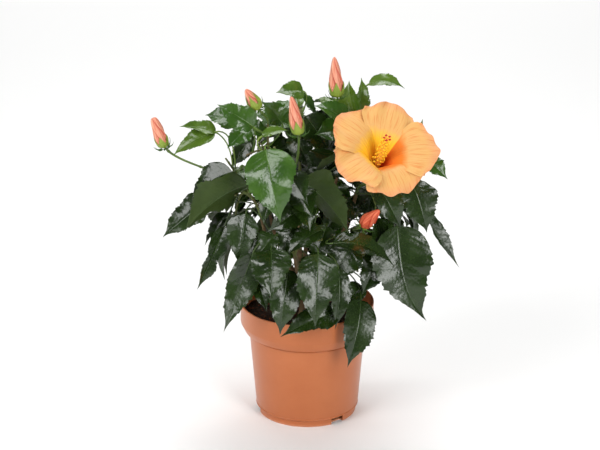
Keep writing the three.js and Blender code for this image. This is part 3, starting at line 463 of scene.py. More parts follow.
# Trunk and boughs: a short woody stem with a flared foot, forked into twelve slim boughs. Thin
# grey-brown bark, finely cracked along the stem, with the rings of old leaf scars.
TRUNK_FOOT = np.array([0, 0, 101.9])
TRUNK_FORK = np.array([-8, 2, 150.0])
TRUNK_RADIUS = 6.2
TRUNK_FORK_RADIUS = 5.4
ROOT_FLARE = 3.4
ROOT_FLARE_HEIGHT = 4
ROOT_LOBES = 3
ROOT_LOBE_DEPTH = 0.1
ROOT_LOBE_HEIGHT = 8
BOUGH_ROOT_RADIUS = 2.5
BOUGH_TIP_RADIUS = 1.5
BOUGH_RISE = 0.7
BARK_CRACKS = 0.3
BOUGH_CRACKS = 0.16
TRUNK_RINGS = 64
TRUNK_SIDES = 48
BOUGH_RINGS = 44
BOUGH_SIDES = 14
TRUNK_TOP_NARROWING = (0.97, 0.88, 0.7)
SCAR_SPACING = 11.0
UP = np.array([0, 0, 1.0])
BARK_DARK = linear(0.33, 0.25, 0.17)
BARK_PALE = linear(0.55, 0.46, 0.33)

boughs = {
    "left": (121, (-44, -14, 205)),
    "upper_left": (138, (-33, -8, 240)),
    "top": (146, (-7, 0, 246)),
    "upper_right": (141, (30, 8, 250)),
    "bloom": (131, (47, -3, 226)),
    "right": (122, (52, -16, 186)),
    "front": (134, (-14, -22, 205)),
    "front_low": (121, (-8, -34, 160)),
    "right_low": (113.5, (34, -16, 146)),
    "back_left": (127, (-36, 34, 190)),
    "back": (134, (2, 42, 200)),
    "back_right": (124, (42, 34, 188)),
}


def unit(way):
    way = np.asarray(way, float)
    return way / np.linalg.norm(way, axis=-1, keepdims=True)


class Curve:
    """A smooth line from its first control point to its last, drawn towards those between"""

    def __init__(self, *controls):
        self.controls = np.array(controls, float)

    def at(self, t):
        t = np.asarray(t, float)[..., None]
        degree = len(self.controls) - 1
        return sum(math.comb(degree, k) * t**k * (1 - t) ** (degree - k) * point
                   for k, point in enumerate(self.controls))

    def points(self, count, start=0):
        """Places at even steps from the start to the end"""
        return self.at(np.linspace(start, 1, count))

    def heading(self, t):
        t = np.asarray(t, float)
        return unit(self.at(np.minimum(t + 1e-4, 1)) - self.at(np.maximum(t - 1e-4, 0)))


def trunk_place(height):
    t = (height - TRUNK_FOOT[2]) / (TRUNK_FORK[2] - TRUNK_FOOT[2])
    return np.array([*(TRUNK_FOOT + (TRUNK_FORK - TRUNK_FOOT) * t)[:2], height])


def bough_curve(name):
    height, tip = boughs[name]
    start, tip = trunk_place(height), np.array(tip, float)
    length = np.linalg.norm(tip - start)
    outward = UP if name == "top" else unit([*(tip - start)[:2], 0])
    leaving = unit(outward + BOUGH_RISE * UP)
    arriving = 0.3 * UP + 0.06 * outward
    return Curve(start, start + 0.3 * length * leaving, tip - length * arriving, tip)


def ring(place, radius, turns, across, other):
    """Places round a limb or bud, in the plane of its two cross directions"""
    return place + np.outer(np.cos(turns) * radius, across) + np.outer(np.sin(turns) * radius, other)


def tube(places, radii, sides, relief=None):
    """Corners and faces of a round limb through the places, closed at both ends"""
    places = np.asarray(places, float)
    ways = unit(np.gradient(places, axis=0))
    across = unit(np.cross(ways[0], UP if abs(ways[0][2]) < 0.9 else (1, 0, 0)))
    turns = full_circle(sides)
    rings = []
    for i, (place, way, radius) in enumerate(zip(places, ways, radii)):
        across = unit(across - way * across.dot(way))
        girth = radius if relief is None else radius + relief(i, turns)
        rings.append(ring(place, girth, turns, across, np.cross(way, across)))
    corners = np.concatenate([*rings, places[:1], places[-1:]])
    faces = band_faces(len(places), sides)
    foot, top, last = len(corners) - 2, len(corners) - 1, (len(places) - 1) * sides
    for k in range(sides):
        n = (k + 1) % sides
        faces += [(foot, n, k), (top, last + k, last + n)]
    return corners, faces


def travelled(places):
    """How far along a line each of its places is"""
    return np.concatenate([[0], np.cumsum(np.linalg.norm(np.diff(places, axis=0), axis=1))])


def bark_relief(places, depth, seed):
    """Cracks that run along a limb, and a low ring at each old leaf scar"""
    distances = travelled(places)

    def relief(i, turns):
        along = distances[i]
        around = [(math.cos(turn), math.sin(turn)) for turn in turns]
        cracks = [noise.noise(Vector((3.2 * x, 3.2 * y, 0.11 * along + seed))) for x, y in around]
        lumps = [noise.noise(Vector((x, y, 0.3 * along + seed + 9))) for x, y in around]
        scar = 0.35 * math.exp(-(((along + seed) % SCAR_SPACING - SCAR_SPACING / 2) / 0.7) ** 2)
        return depth * (1.3 * np.array(cracks) + 0.8 * np.array(lumps) + scar)

    return relief


def make_trunk():
    heights = np.linspace(TRUNK_FOOT[2], TRUNK_FORK[2] - 0.4, TRUNK_RINGS)
    places = np.array([trunk_place(height) for height in heights])
    share = (heights - heights[0]) / (heights[-1] - heights[0])
    risen = heights - TRUNK_FOOT[2]
    flare = ROOT_FLARE * np.exp(-risen / ROOT_FLARE_HEIGHT)
    radii = TRUNK_RADIUS + (TRUNK_FORK_RADIUS - TRUNK_RADIUS) * share + flare - BARK_CRACKS
    radii[-3:] *= TRUNK_TOP_NARROWING
    cracks = bark_relief(places, BARK_CRACKS, 4)

    def relief(i, turns):
        lobes = ROOT_LOBE_DEPTH * radii[i] * np.cos(ROOT_LOBES * turns)
        return lobes * math.exp(-risen[i] / ROOT_LOBE_HEIGHT) + cracks(i, turns)

    return tube(places, radii, TRUNK_SIDES, relief)


bark = natural_finish("bark", BARK_DARK, BARK_PALE, 160.0, 0.82, relief_scale=500.0, depth=0.0005,
                      strength=0.7, gloss=0.3, Stretch=(1, 1, 0.25))
dress(mesh_piece("trunk_with_bark", *make_trunk(), [bark]), "bark", "trunk")

bough_of = {name: bough_curve(name) for name in boughs}
limbs = Bundle()
for number, (name, curve) in enumerate(bough_of.items()):
    line = curve.points(BOUGH_RINGS)
    girths = np.linspace(BOUGH_ROOT_RADIUS, BOUGH_TIP_RADIUS, BOUGH_RINGS)
    limbs.add(*tube(line, girths, BOUGH_SIDES, bark_relief(line, BOUGH_CRACKS, 7 * number)))
dress(limbs.make("boughs_with_bark", [bark]), "bark", *(f"bough_{name}" for name in boughs))

# Shoots and twigs: green first-year wood that goes on from each bough into its mass of leaves.
# The first shoot of a mass carries on the bough, and side shoots and twigs fork from it.
SIDE_SHOOT_RADIUS = 1.2
FIRST_FORK = 0.28
FORK_SPACING = 0.1
FIRST_TWIG = 0.45
TWIG_RADIUS = 1.1
TWIG_SPAN = 0.45
# Whatever is drawn is given by its least value and its spread
TWIG_LENGTH = (22, 12)
SHOOT_TIP_RADIUS = 0.9
CLEARANCE = 0.3
GOLDEN_ANGLE = 2.39996
CROWN_AXIS = np.array([0, 4, 0.0])
SHOOT_GREEN = linear(0.42, 0.50, 0.22)
SHOOT_BROWN = linear(0.40, 0.33, 0.20)

# A mass of leaves has a seed, a middle and reach, the number of leaves and twigs that grow by the
# rule, and the ends of its shoots
masses = {
    "left": dict(seed=11, middle=(-74, 2, 196), reach=62, grown=9, twigs=1,
                 shoots=[(-86, -20, 252), (-77, -24, 268), (-70, 16, 186)]),
    "upper_left": dict(seed=23, middle=(-56, 2, 292), reach=54, grown=2, twigs=1, shoots=[(-37, -20, 301)]),
    "top": dict(seed=37, middle=(0, 14, 286), reach=62, grown=5, twigs=1,
                shoots=[(-6, 6, 308), (-10, -24, 264)]),
    "upper_right": dict(seed=41, middle=(50, 22, 280), reach=66, grown=6, twigs=1,
                        shoots=[(33, -2, 299), (52, 4, 292)]),
    "right": dict(seed=53, middle=(82, 0, 204), reach=68, grown=7, twigs=1,
                  shoots=[(92, -16, 232), (45, -30, 200)]),
    "front": dict(seed=67, middle=(-6, -38, 250), reach=58, grown=4, twigs=1,
                  shoots=[(-31, -42, 285), (16, -30, 250)]),
    "front_low": dict(seed=71, middle=(-14, -58, 176), reach=64, grown=3, twigs=1,
                      shoots=[(-36, -46, 200), (14, -50, 196)]),
    "right_low": dict(seed=83, middle=(58, -8, 160), reach=56, grown=0, twigs=0, shoots=[(60, -22, 172)]),
    "back_left": dict(seed=97, middle=(-64, 56, 196), reach=84, grown=10, twigs=2,
                      shoots=[(-52, 48, 240), (-50, 66, 180)]),
    "back": dict(seed=101, middle=(0, 76, 204), reach=84, grown=11, twigs=2,
                 shoots=[(4, 58, 256), (8, 78, 184)]),
    "back_right": dict(seed=131, middle=(66, 56, 196), reach=84, grown=12, twigs=2,
                       shoots=[(56, 46, 236), (60, 60, 176)]),
}


def seeded_numbers(seed):
    """Numbers between 0 and 1, the same in every run"""
    state = seed
    while True:
        state = state * 48271 % 2147483647
        yield state / 2147483647


def drawn(draw, limits):
    least, spread = limits
    return least + spread * next(draw)


def away_from_middle(root):
    return unit([*(root - CROWN_AXIS)[:2], 0])


def spread_way(root, turn, outward, around, rise):
    """The way that a new shoot or leaf takes: out of the crown, round its carrier, and up or down"""
    return unit(outward * away_from_middle(root) + (around * math.cos(turn), around * math.sin(turn), rise))


def shoot_curve(start, heading, end):
    return Curve(start, start + 0.45 * np.linalg.norm(end - start) * heading, end)


def grow_shoots(name):
    """The stem that goes on from the bough, its side shoots, and its twigs, each with its radius"""
    mass = masses[name]
    bough = bough_of[name]
    start = bough.at(1.0) + CLEARANCE * bough.heading(1.0)
    stem = shoot_curve(start, bough.heading(1.0), np.array(mass["shoots"][0], float))
    shoots = [(stem, BOUGH_TIP_RADIUS)]
    for i, end in enumerate(mass["shoots"][1:]):
        t = FIRST_FORK + FORK_SPACING * i
        shoots.append((shoot_curve(stem.at(t), stem.heading(t), np.array(end, float)), SIDE_SHOOT_RADIUS))
    draw = seeded_numbers(mass["seed"] * 1000 + 7)
    for i in range(mass["twigs"]):
        t = FIRST_TWIG + TWIG_SPAN * i / mass["twigs"]
        root = stem.at(t)
        toward = spread_way(root, mass["seed"] + i * GOLDEN_ANGLE, 0.7, 0.8, 0.35)
        end = root + drawn(draw, TWIG_LENGTH) * toward
        shoots.append((shoot_curve(root, stem.heading(t), end), TWIG_RADIUS))
    return shoots


shoots_of = {name: grow_shoots(name) for name in masses}

# Buds: petals furled in a spiral inside a green five-pointed calyx, with a ring of thin bracts at
# its foot. Each grows on a slim jointed stalk from the end of a shoot.
# The flower stalks' green is darker than their own: painted shade, for the shade they stand in among the
# leaves
FLOWER_STALK_GREEN_AND_SHADE = (linear(0.24, 0.34, 0.10), linear(0.38, 0.47, 0.18))
BUD_SIDES = 60
BUD_ROWS = 40
CALYX_GREEN = (linear(0.40, 0.50, 0.13), linear(0.58, 0.65, 0.24))
BRACT_GREEN = (linear(0.16, 0.28, 0.08), linear(0.28, 0.42, 0.14))
BUD_TINTS = {
    "salmon": (linear(0.82, 0.46, 0.36), linear(0.94, 0.70, 0.58)),
    "coral": (linear(0.76, 0.28, 0.17), linear(0.88, 0.48, 0.34)),
}
BUD_EDGE = linear(0.70, 0.20, 0.12)
BUD_LAPS = 5
BUD_TWIST = 1.6
LAP_DEPTH = 0.23
PLEAT_DEPTH = 0.018
PETALS_START = 0.1
CALYX_SIDES = 60
CALYX_ROWS = 14
CALYX_OUTSIDE = 0.45
CALYX_INSIDE = 0.1
BUD_BRACTS = 8
BRACT_RADII = (0.8, 0.15)

# A stalk starts a little before its curve does, so that it meets what carries it
STALK_ROOT = -0.02
BUD_STALK = dict(radii=(SHOOT_TIP_RADIUS, 1.2), rings=36, sides=9, joint_spacing=34.0, swelling=0.45)

# A flower stalk goes on from the end of the shoot that it names, to the foot of its calyx, and a
# bud points from there to its tip. The calyx share says how far up its green sepals reach.
buds = {
    "left": dict(carrier=("left", 0), foot=(-134, -25, 279), tip=(-144, -27, 309), width=12.5, calyx=0.42,
                 blunt=0.8, tint="salmon"),
    "upper_left": dict(carrier=("upper_left", 0), foot=(-46, -31, 319), tip=(-57, -38, 340), width=13,
                       calyx=0.8, blunt=0.5, tint="salmon"),
    "centre": dict(carrier=("top", 1), foot=(-8, -45, 298), tip=(-15, -47, 336), width=13.5, calyx=0.42,
                   blunt=0.45, tint="salmon"),
    "top": dict(carrier=("upper_right", 0), foot=(28, -5, 322), tip=(25, -6, 362), width=14.5, calyx=0.42,
                blunt=0.4, tint="salmon"),
    "right": dict(carrier=("right", 1), foot=(52, -47, 209), tip=(67, -62, 230), width=14.5, calyx=0.16,
                  blunt=0.35, tint="coral"),
}


def flower_stalk(carrier, foot, heading):
    lead = carrier.heading(1.0)
    start = carrier.at(1.0) + CLEARANCE * lead
    length = np.linalg.norm(foot - start)
    return Curve(start, start + 0.3 * length * lead, foot - 0.2 * length * heading, foot + 3 * heading)


def jointed_stem(curve, start, radii, rings, sides, joint_spacing, swelling):
    """A young stem from the start to the end of its curve, a little thicker at each joint"""
    places = curve.points(rings, start)
    joint = np.exp(-(((travelled(places) % joint_spacing) - joint_spacing / 2) / 0.8) ** 2)
    return tube(places, np.linspace(*radii, rings) * (1 + swelling * joint), sides)


def bud_girth(share, blunt):
    """Half width of a bud by its share of the way up, fuller near the tip where it is blunt"""
    rise = np.clip(share / 0.34, 0, 1)
    lower = 0.62 + 0.38 * np.sin(rise * math.pi / 2)
    upper = np.clip((1 - share) / 0.66, 0, 1) ** (0.85 - 0.72 * blunt)
    return lower * np.where(share > 0.34, upper, 1.0) * np.sqrt(np.clip((share + 0.005) / 0.08, 0, 1))


def upright_frame(foot, tip):
    heading = unit(tip - foot)
    across = unit(np.cross(heading, (1, 0, 0.2)))
    return heading, across, np.cross(heading, across)


def furled_petals(foot, tip, width, blunt):
    """The petals wound round each other: each lap stands out at its edge, and has fine pleats"""
    _, across, other = upright_frame(foot, tip)
    turns = full_circle(BUD_SIDES)
    rings = []
    for share in np.linspace(PETALS_START, 1, BUD_ROWS):
        overlap = (BUD_LAPS * turns / (2 * math.pi) + BUD_TWIST * share) % 1
        depth = math.sin(math.pi * min(share + 0.1, 1))
        lap = 1 - LAP_DEPTH * np.minimum(overlap / 0.88, (1 - overlap) / 0.12) * depth
        pleats = 1 + PLEAT_DEPTH * depth * np.sin(4 * 2 * math.pi * overlap)
        radius = width / 2 * bud_girth(share, blunt) * lap * pleats
        rings.append(ring(foot + share * (tip - foot), radius, turns, across, other))
    return np.concatenate(rings), band_faces(BUD_ROWS, BUD_SIDES)


def calyx_cup(foot, tip, width, blunt, share_up):
    """A cup of five joined sepals whose points hug the petals, with a rib along each"""
    _, across, other = upright_frame(foot, tip)
    turns = full_circle(CALYX_SIDES)
    saw = np.abs((5 * turns / (2 * math.pi)) % 1 - 0.5) * 2
    edge = share_up * (0.42 + 0.58 * (1 - saw) ** 1.25)
    rib = 0.35 * np.exp(-((saw / 0.16) ** 2))
    levels = np.linspace(0, 1, CALYX_ROWS)
    rings = []
    for lift, rows in ((CALYX_OUTSIDE, levels), (CALYX_INSIDE, levels[::-1])):
        for level in rows:
            share = edge * level
            radius = width / 2 * bud_girth(share, blunt) + lift * (1 - 0.5 * level) + rib * (1 - level)
            rings.append(ring(foot + share[:, None] * (tip - foot), radius, turns, across, other))
    return np.concatenate(rings), band_faces(2 * CALYX_ROWS, CALYX_SIDES)


def bract_ring(foot, tip, width, count, length):
    """Thin pointed bracts that spread from under the calyx and curl up at their tips"""
    heading, across, other = upright_frame(foot, tip)
    bracts = []
    for i in range(count):
        turn = 2 * math.pi * i / count
        out = math.cos(turn) * across + math.sin(turn) * other
        start = foot + 0.25 * width * out - 0.3 * heading
        curve = Curve(start, start + 0.55 * length * out - 0.1 * length * heading,
                      start + 0.7 * length * out + (0.5 + 0.2 * math.sin(3 * i)) * length * heading)
        places = curve.points(9)
        bracts.append(tube(places, np.linspace(*BRACT_RADII, 9), 6))
    return bracts


sepals, bracts, flower_stalks = Bundle(), Bundle(), Bundle()


def furled_skin(name, low, high):
    """Skin of furled petals: streaks that run up the bud, and a deeper red at each lapped edge"""
    material, tree, shader = new_material(name, Roughness=0.5, Specular_IOR_Level=0.3)
    spot = new_node(tree, "UVMap")
    stretch = new_node(tree, "VectorMath", operation="MULTIPLY")
    stretch.inputs[1].default_value = (34, 1.8, 1)
    streaks = new_node(tree, "TexNoise", Scale=1.0, Detail=3)
    spread_out = new_node(tree, "MapRange", From_Min=0.35, From_Max=0.65)
    mix = new_node(tree, "Mix", data_type="RGBA", A=low, B=high)
    spiral = new_node(tree, "VectorMath", operation="DOT_PRODUCT")
    spiral.inputs[1].default_value = (BUD_LAPS, BUD_TWIST, 0)
    lap = new_node(tree, "Math", operation="FRACT")
    edge = new_node(tree, "MapRange", From_Min=0.62, To_Max=0.95)
    reddened = new_node(tree, "Mix", data_type="RGBA", B=BUD_EDGE)
    bump = new_node(tree, "Bump", Strength=0.4, Distance=0.0003)
    wire(tree, (spot, "UV", stretch, 0), (stretch, 0, streaks, "Vector"),
         (streaks, "Fac", spread_out, "Value"), (spread_out, "Result", mix, "Factor"),
         (spot, "UV", spiral, 0), (spiral, "Value", lap, 0), (lap, 0, edge, "Value"),
         (edge, "Result", reddened, "Factor"), (mix, "Result", reddened, "A"),
         (reddened, "Result", shader, "Base Color"), (streaks, "Fac", bump, "Height"),
         (bump, "Normal", shader, "Normal"))
    return material


def set_map(thing, spots):
    thing.data.uv_layers.new(name="UVMap").data.foreach_set("uv", np.array(spots).ravel())


# A map of the furled petals: round the bud in one direction and up its rows in the other
furled_spots = [((k + du) / BUD_SIDES, (i + dv) / (BUD_ROWS - 1)) for i in range(BUD_ROWS - 1)
                for k in range(BUD_SIDES) for du, dv in ((0, 0), (1, 0), (1, 1), (0, 1))]
bud_skins = {tint: furled_skin(f"{tint}_bud", *colours) for tint, colours in BUD_TINTS.items()}
for name, bud in buds.items():
    foot, tip, width = np.array(bud["foot"], float), np.array(bud["tip"], float), bud["width"]
    furled = furled_petals(foot, tip, width, bud["blunt"])
    petals = mesh_piece(f"furled_petals_{name}", *furled, [bud_skins[bud["tint"]]], 50)
    set_map(petals, furled_spots)
    dress(petals, "buds", f"bud_{name}")
    sepals.add(*calyx_cup(foot, tip, width + 0.3, bud["blunt"], bud["calyx"]))
    for bract in bract_ring(foot, tip, width, BUD_BRACTS, 0.75 * width):
        bracts.add(*bract)
    mass_name, shoot_number = bud["carrier"]
    bud["stalk"] = flower_stalk(shoots_of[mass_name][shoot_number][0], foot, unit(tip - foot))
    flower_stalks.add(*jointed_stem(bud["stalk"], STALK_ROOT, **BUD_STALK))

# Bloom: five broad overlapping petals, ruffled at the edge and finely veined, round a long column
# of stamens that ends in five velvety pads. A green calyx holds them on the flower's stalk.
PETAL_ROWS = 37
PETAL_COLUMNS = 45
PETAL_THICKNESS = 0.45
EDGE_RUFFLE = 2.0
# The two lower petals fold back from the throat, and are a little shorter
PETAL_FALL = {4: 5, 5: 8}
PETAL_REACH = {4: 0.97, 5: 0.92}
VEIN_RELIEF = 0.16
THROAT_WOBBLE = 0.12
PETAL_VEINS = 8
APRICOT = linear(0.875, 0.675, 0.405)
APRICOT_EDGE = linear(0.875, 0.61, 0.42)
APRICOT_VEIN = linear(0.84, 0.46, 0.22)
THROAT_YELLOW = linear(0.98, 0.78, 0.18)
THROAT_ORANGE = linear(0.93, 0.50, 0.15)
THROAT_RED = linear(0.84, 0.30, 0.09)
# Colours up a petal by its share of the way: the two on the right are orange in the throat
ORANGE_PETALS = (1, 5)
PETAL_STOPS = {
    "yellow_throat": [(0.0, THROAT_ORANGE), (0.05, THROAT_YELLOW), (0.24, THROAT_YELLOW), (0.40, APRICOT),
                      (0.8, APRICOT), (1.0, APRICOT_EDGE)],
    "orange_throat": [(0.0, THROAT_RED), (0.10, THROAT_RED), (0.18, THROAT_ORANGE), (0.30, THROAT_ORANGE),
                      (0.42, APRICOT), (0.75, APRICOT), (1.0, APRICOT_EDGE)],
}
COLUMN_TINT = (linear(0.96, 0.66, 0.20), linear(0.99, 0.80, 0.36))
POLLEN = (linear(0.96, 0.70, 0.07), linear(1.0, 0.85, 0.18))
STIGMA_RED = (linear(0.62, 0.08, 0.06), linear(0.82, 0.20, 0.12))
STAMENS = 90
STAMENS_START = 6
STAMENS_REACH = 36
STAMEN_LENGTH = (4.0, 6.8)
ANTHER_RADIUS = (0.85, 1.2)
PAD_RADIUS = 1.25
CALYX_MOUTH = 14
CALYX_WIDTH = 15.5
BLOOM_THROAT = np.array([64, -46, 267.0])
BLOOM_AXIS = unit([0.19, -0.57, 0.8])
BLOOM_RIGHT = unit(np.cross(UP, BLOOM_AXIS))
BLOOM_TOP = np.cross(BLOOM_AXIS, BLOOM_RIGHT)
BLOOM_STALK_FOOT = 24
BLOOM_STALK = dict(radii=(BOUGH_TIP_RADIUS, 1.6), rings=40, sides=10, joint_spacing=52.0, swelling=0.4)
PETAL_TURNS = [math.radians(-11 + 72 * i) for i in range(5)]
BLOOM_RADIUS = 54
CLAW_RADIUS = 3
PETAL_WIDTH = 57
CORNER_DROP = 16
FUNNEL_RISE = 32
# The funnel's curve in the solid, and the steeper one by which these petals open out flatter
FUNNEL_CURVE = 2.2
OPENED_CURVE = 5.0
THROAT_DEPTH = 9
RUFFLE = 2.6
COLUMN_LENGTH = 48
COLUMN_ENDS = (-12, COLUMN_LENGTH - 5)
COLUMN_SHARES = (0, 0.25, 0.6, 1)
COLUMN_RADII = (3.4, 2.3, 1.8, 1.2)


def petal_place(turn, v, a):
    """Places on a petal: v runs from its claw to its edge, a from one side to the other"""
    outward = BLOOM_RIGHT * math.cos(turn) + BLOOM_TOP * math.sin(turn)
    sideways = np.cross(BLOOM_AXIS, outward)
    v, a = np.asarray(v, float)[..., None], np.asarray(a, float)[..., None]
    radius = CLAW_RADIUS + (BLOOM_RADIUS - CLAW_RADIUS) * v - CORNER_DROP * a**2 * v**2
    funnel = FUNNEL_RISE * (1 - (1 - v) ** FUNNEL_CURVE) - THROAT_DEPTH * np.exp(-8 * v)
    half = PETAL_WIDTH / 2 * np.sin(math.pi * (0.05 + 0.62 * v))
    ruffle = RUFFLE * v**2 * np.abs(a) * np.sin(8.5 * a + 4 * turn) + 3 * a * v
    return BLOOM_THROAT + radius * outward + a * half * sideways + (funnel + ruffle) * BLOOM_AXIS


def petal_sheet(number, turn):
    """Places and normals of a petal: scalloped and frilled at its edge, and ribbed along its veins"""
    v, a = np.meshgrid(np.linspace(0, 1, PETAL_ROWS), np.linspace(-1, 1, PETAL_COLUMNS), indexing="ij")
    scallop = 0.5 + 0.3 * np.sin(5.5 * a + 3 * turn) + 0.2 * np.sin(11 * a + 7 * turn)
    reach = PETAL_REACH.get(number, 1) * v * (1 - v**5 * (0.06 * scallop + 0.05 * np.abs(a) ** 2.6))
    step = 0.02
    along_a = petal_place(turn, reach, a + step) - petal_place(turn, reach, a - step)
    above, below = np.minimum(reach + step, 1), np.maximum(reach - step, 0)
    along_v = petal_place(turn, above, a) - petal_place(turn, below, a)
    normal = unit(np.cross(along_a, along_v))
    frill = EDGE_RUFFLE * v**4 * np.sin(9 * a + 5 * turn) * (0.65 + 0.35 * np.sin(5 * a))
    frill = frill + 0.8 * v**3 * np.abs(a) ** 4 * np.sin(19 * v + turn)
    ribs = VEIN_RELIEF * np.cos(2 * math.pi * PETAL_VEINS * a) * (1 - v) ** 0.3
    opened = FUNNEL_RISE * ((1 - v) ** FUNNEL_CURVE - (1 - v) ** OPENED_CURVE)
    opened = opened - PETAL_FALL.get(number, 0) * v**1.5
    place = petal_place(turn, reach, a) + (frill + ribs)[..., None] * normal + opened[..., None] * BLOOM_AXIS
    return place, normal


def petal_mesh(number, turn):
    """A closed thin petal, its two faces joined round the rim, and its map: across and along"""
    place, normal = petal_sheet(number, turn)
    rows, wide = place.shape[:2]
    thick = normal * PETAL_THICKNESS / 2
    corners = np.concatenate([(place + thick).reshape(-1, 3), (place - thick).reshape(-1, 3)])
    cells = []
    for i in range(rows - 1):
        for k in range(wide - 1):
            patch = [(i, k), (i, k + 1), (i + 1, k + 1), (i + 1, k)]
            cells.append([(*spot, 0) for spot in patch])
            cells.append([(*spot, 1) for spot in reversed(patch)])
    rim = [(0, k) for k in range(wide)] + [(i, wide - 1) for i in range(1, rows)]
    rim += [(rows - 1, k) for k in range(wide - 2, -1, -1)] + [(i, 0) for i in range(rows - 2, 0, -1)]
    for here, there in zip(rim, rim[1:] + rim[:1]):
        cells.append([(*here, 0), (*here, 1), (*there, 1), (*there, 0)])
    faces = [tuple((side * rows + i) * wide + k for i, k, side in cell) for cell in cells]
    spots = [(k / (wide - 1), i / (rows - 1)) for cell in cells for i, k, _ in cell]
    return corners, faces, spots


def petal_skin(name, stops):
    """Apricot petal: its throat's colours, fine veins, and a pinker edge"""
    material, tree, shader = new_material(name, Roughness=0.55, Specular_IOR_Level=0.25)
    spot = new_node(tree, "UVMap")
    split = new_node(tree, "SeparateXYZ")
    wobble = new_node(tree, "TexNoise", Scale=7.0)
    shift = new_node(tree, "Math", operation="MULTIPLY_ADD")
    shift.inputs[1].default_value = THROAT_WOBBLE
    shift.inputs[2].default_value = -THROAT_WOBBLE / 2
    depth = new_node(tree, "Math", operation="ADD")
    ramp = new_node(tree, "ValToRGB")
    ends = ramp.color_ramp.elements
    ends[0].color = stops[0][1]
    ends[1].position, ends[1].color = stops[-1]
    for position, colour in stops[1:-1]:
        ends.new(position).color = colour
    stretch = new_node(tree, "VectorMath", operation="MULTIPLY")
    stretch.inputs[1].default_value = (60, 2.5, 1)
    streaks = new_node(tree, "TexNoise", Scale=1.0, Detail=2)
    vein = new_node(tree, "MapRange", From_Min=0.52, From_Max=0.66, To_Max=0.6)
    mix = new_node(tree, "Mix", data_type="RGBA", B=APRICOT_VEIN)
    bump = new_node(tree, "Bump", Strength=0.35, Distance=0.0004)
    wire(tree, (spot, "UV", split, 0), (spot, "UV", wobble, "Vector"), (wobble, "Fac", shift, 0),
         (split, "Y", depth, 0), (shift, 0, depth, 1), (depth, 0, ramp, "Fac"), (spot, "UV", stretch, 0),
         (stretch, 0, streaks, "Vector"), (streaks, "Fac", vein, "Value"), (vein, "Result", mix, "Factor"),
         (ramp, "Color", mix, "A"), (mix, "Result", shader, "Base Color"), (streaks, "Fac", bump, "Height"),
         (bump, "Normal", shader, "Normal"))
    return material


petal_skins = {name: petal_skin(f"apricot_with_{name}", stops) for name, stops in PETAL_STOPS.items()}
for number, turn in enumerate(PETAL_TURNS, 1):
    corners, faces, spots = petal_mesh(number, turn)
    skin = petal_skins["orange_throat" if number in ORANGE_PETALS else "yellow_throat"]
    petal = mesh_piece(f"petal_{number}", corners, faces, [skin], 80)
    set_map(petal, spots)
    dress(petal, "petals", "bloom")


def along_bloom(distance):
    return BLOOM_THROAT + distance * BLOOM_AXIS


def round_head(centre, radius, squash, sides, rings):
    """A small rounded body, such as an anther or a pad"""
    leans = math.pi * np.arange(1, rings) / rings
    corners = [(math.sin(lean) * math.cos(turn), math.sin(lean) * math.sin(turn), squash * math.cos(lean))
               for lean in leans for turn in full_circle(sides)]
    corners += [(0, 0, squash), (0, 0, -squash)]
    faces = band_faces(rings - 1, sides, turned_over=True)
    top, bottom, last = len(corners) - 2, len(corners) - 1, (rings - 2) * sides
    for k in range(sides):
        n = (k + 1) % sides
        faces += [(top, k, n), (bottom, last + n, last + k)]
    return np.array(corners) * radius + centre, faces


def round_the_column(turn):
    return math.cos(turn) * BLOOM_RIGHT + math.sin(turn) * BLOOM_TOP


column, filaments, anthers, pads = Bundle(), Bundle(), Bundle(), Bundle()
column_line = along_bloom(np.linspace(*COLUMN_ENDS, 40)[:, None])
column.add(*tube(column_line, np.interp(np.linspace(0, 1, 40), COLUMN_SHARES, COLUMN_RADII), 16))
stamen_draw = np.random.default_rng(17)
for i in range(STAMENS):
    share = (i + 0.5) / STAMENS
    start = along_bloom(STAMENS_START + STAMENS_REACH * share)
    turn = i * GOLDEN_ANGLE
    out = round_the_column(turn)
    longer_below = 1 + 0.5 * max(0, -math.cos(turn)) * (1 - share)
    length = stamen_draw.uniform(*STAMEN_LENGTH) * (1 - 0.35 * share) * longer_below
    end = start + length * (0.88 * out + 0.5 * BLOOM_AXIS)
    curve = Curve(start, start + 0.5 * length * out, end)
    filaments.add(*tube(curve.points(5), np.linspace(0.28, 0.16, 5), 5))
    anthers.add(*round_head(end, stamen_draw.uniform(*ANTHER_RADIUS), 0.8, 7, 4))
for i in range(5):
    out = round_the_column(2 * math.pi * i / 5 + 0.4)
    start = along_bloom(COLUMN_LENGTH - 6)
    curve = Curve(start, start + 3 * BLOOM_AXIS, start + 4.2 * BLOOM_AXIS + 2.9 * out)
    filaments.add(*tube(curve.points(7), np.linspace(0.45, 0.3, 7), 6))
    pads.add(*round_head(curve.at(1.0) + 0.3 * BLOOM_AXIS, PAD_RADIUS, 0.75, 12, 8))

calyx_foot, calyx_mouth = along_bloom(-BLOOM_STALK_FOOT), along_bloom(CALYX_MOUTH)
sepals.add(*calyx_cup(calyx_foot, calyx_mouth, CALYX_WIDTH, 0.6, 0.62))
for bract in bract_ring(calyx_foot, calyx_mouth, 13, 7, 9):
    bracts.add(*bract)
bloom_stalk = flower_stalk(bough_of["bloom"], calyx_foot, BLOOM_AXIS)
flower_stalks.add(*jointed_stem(bloom_stalk, STALK_ROOT, **BLOOM_STALK))

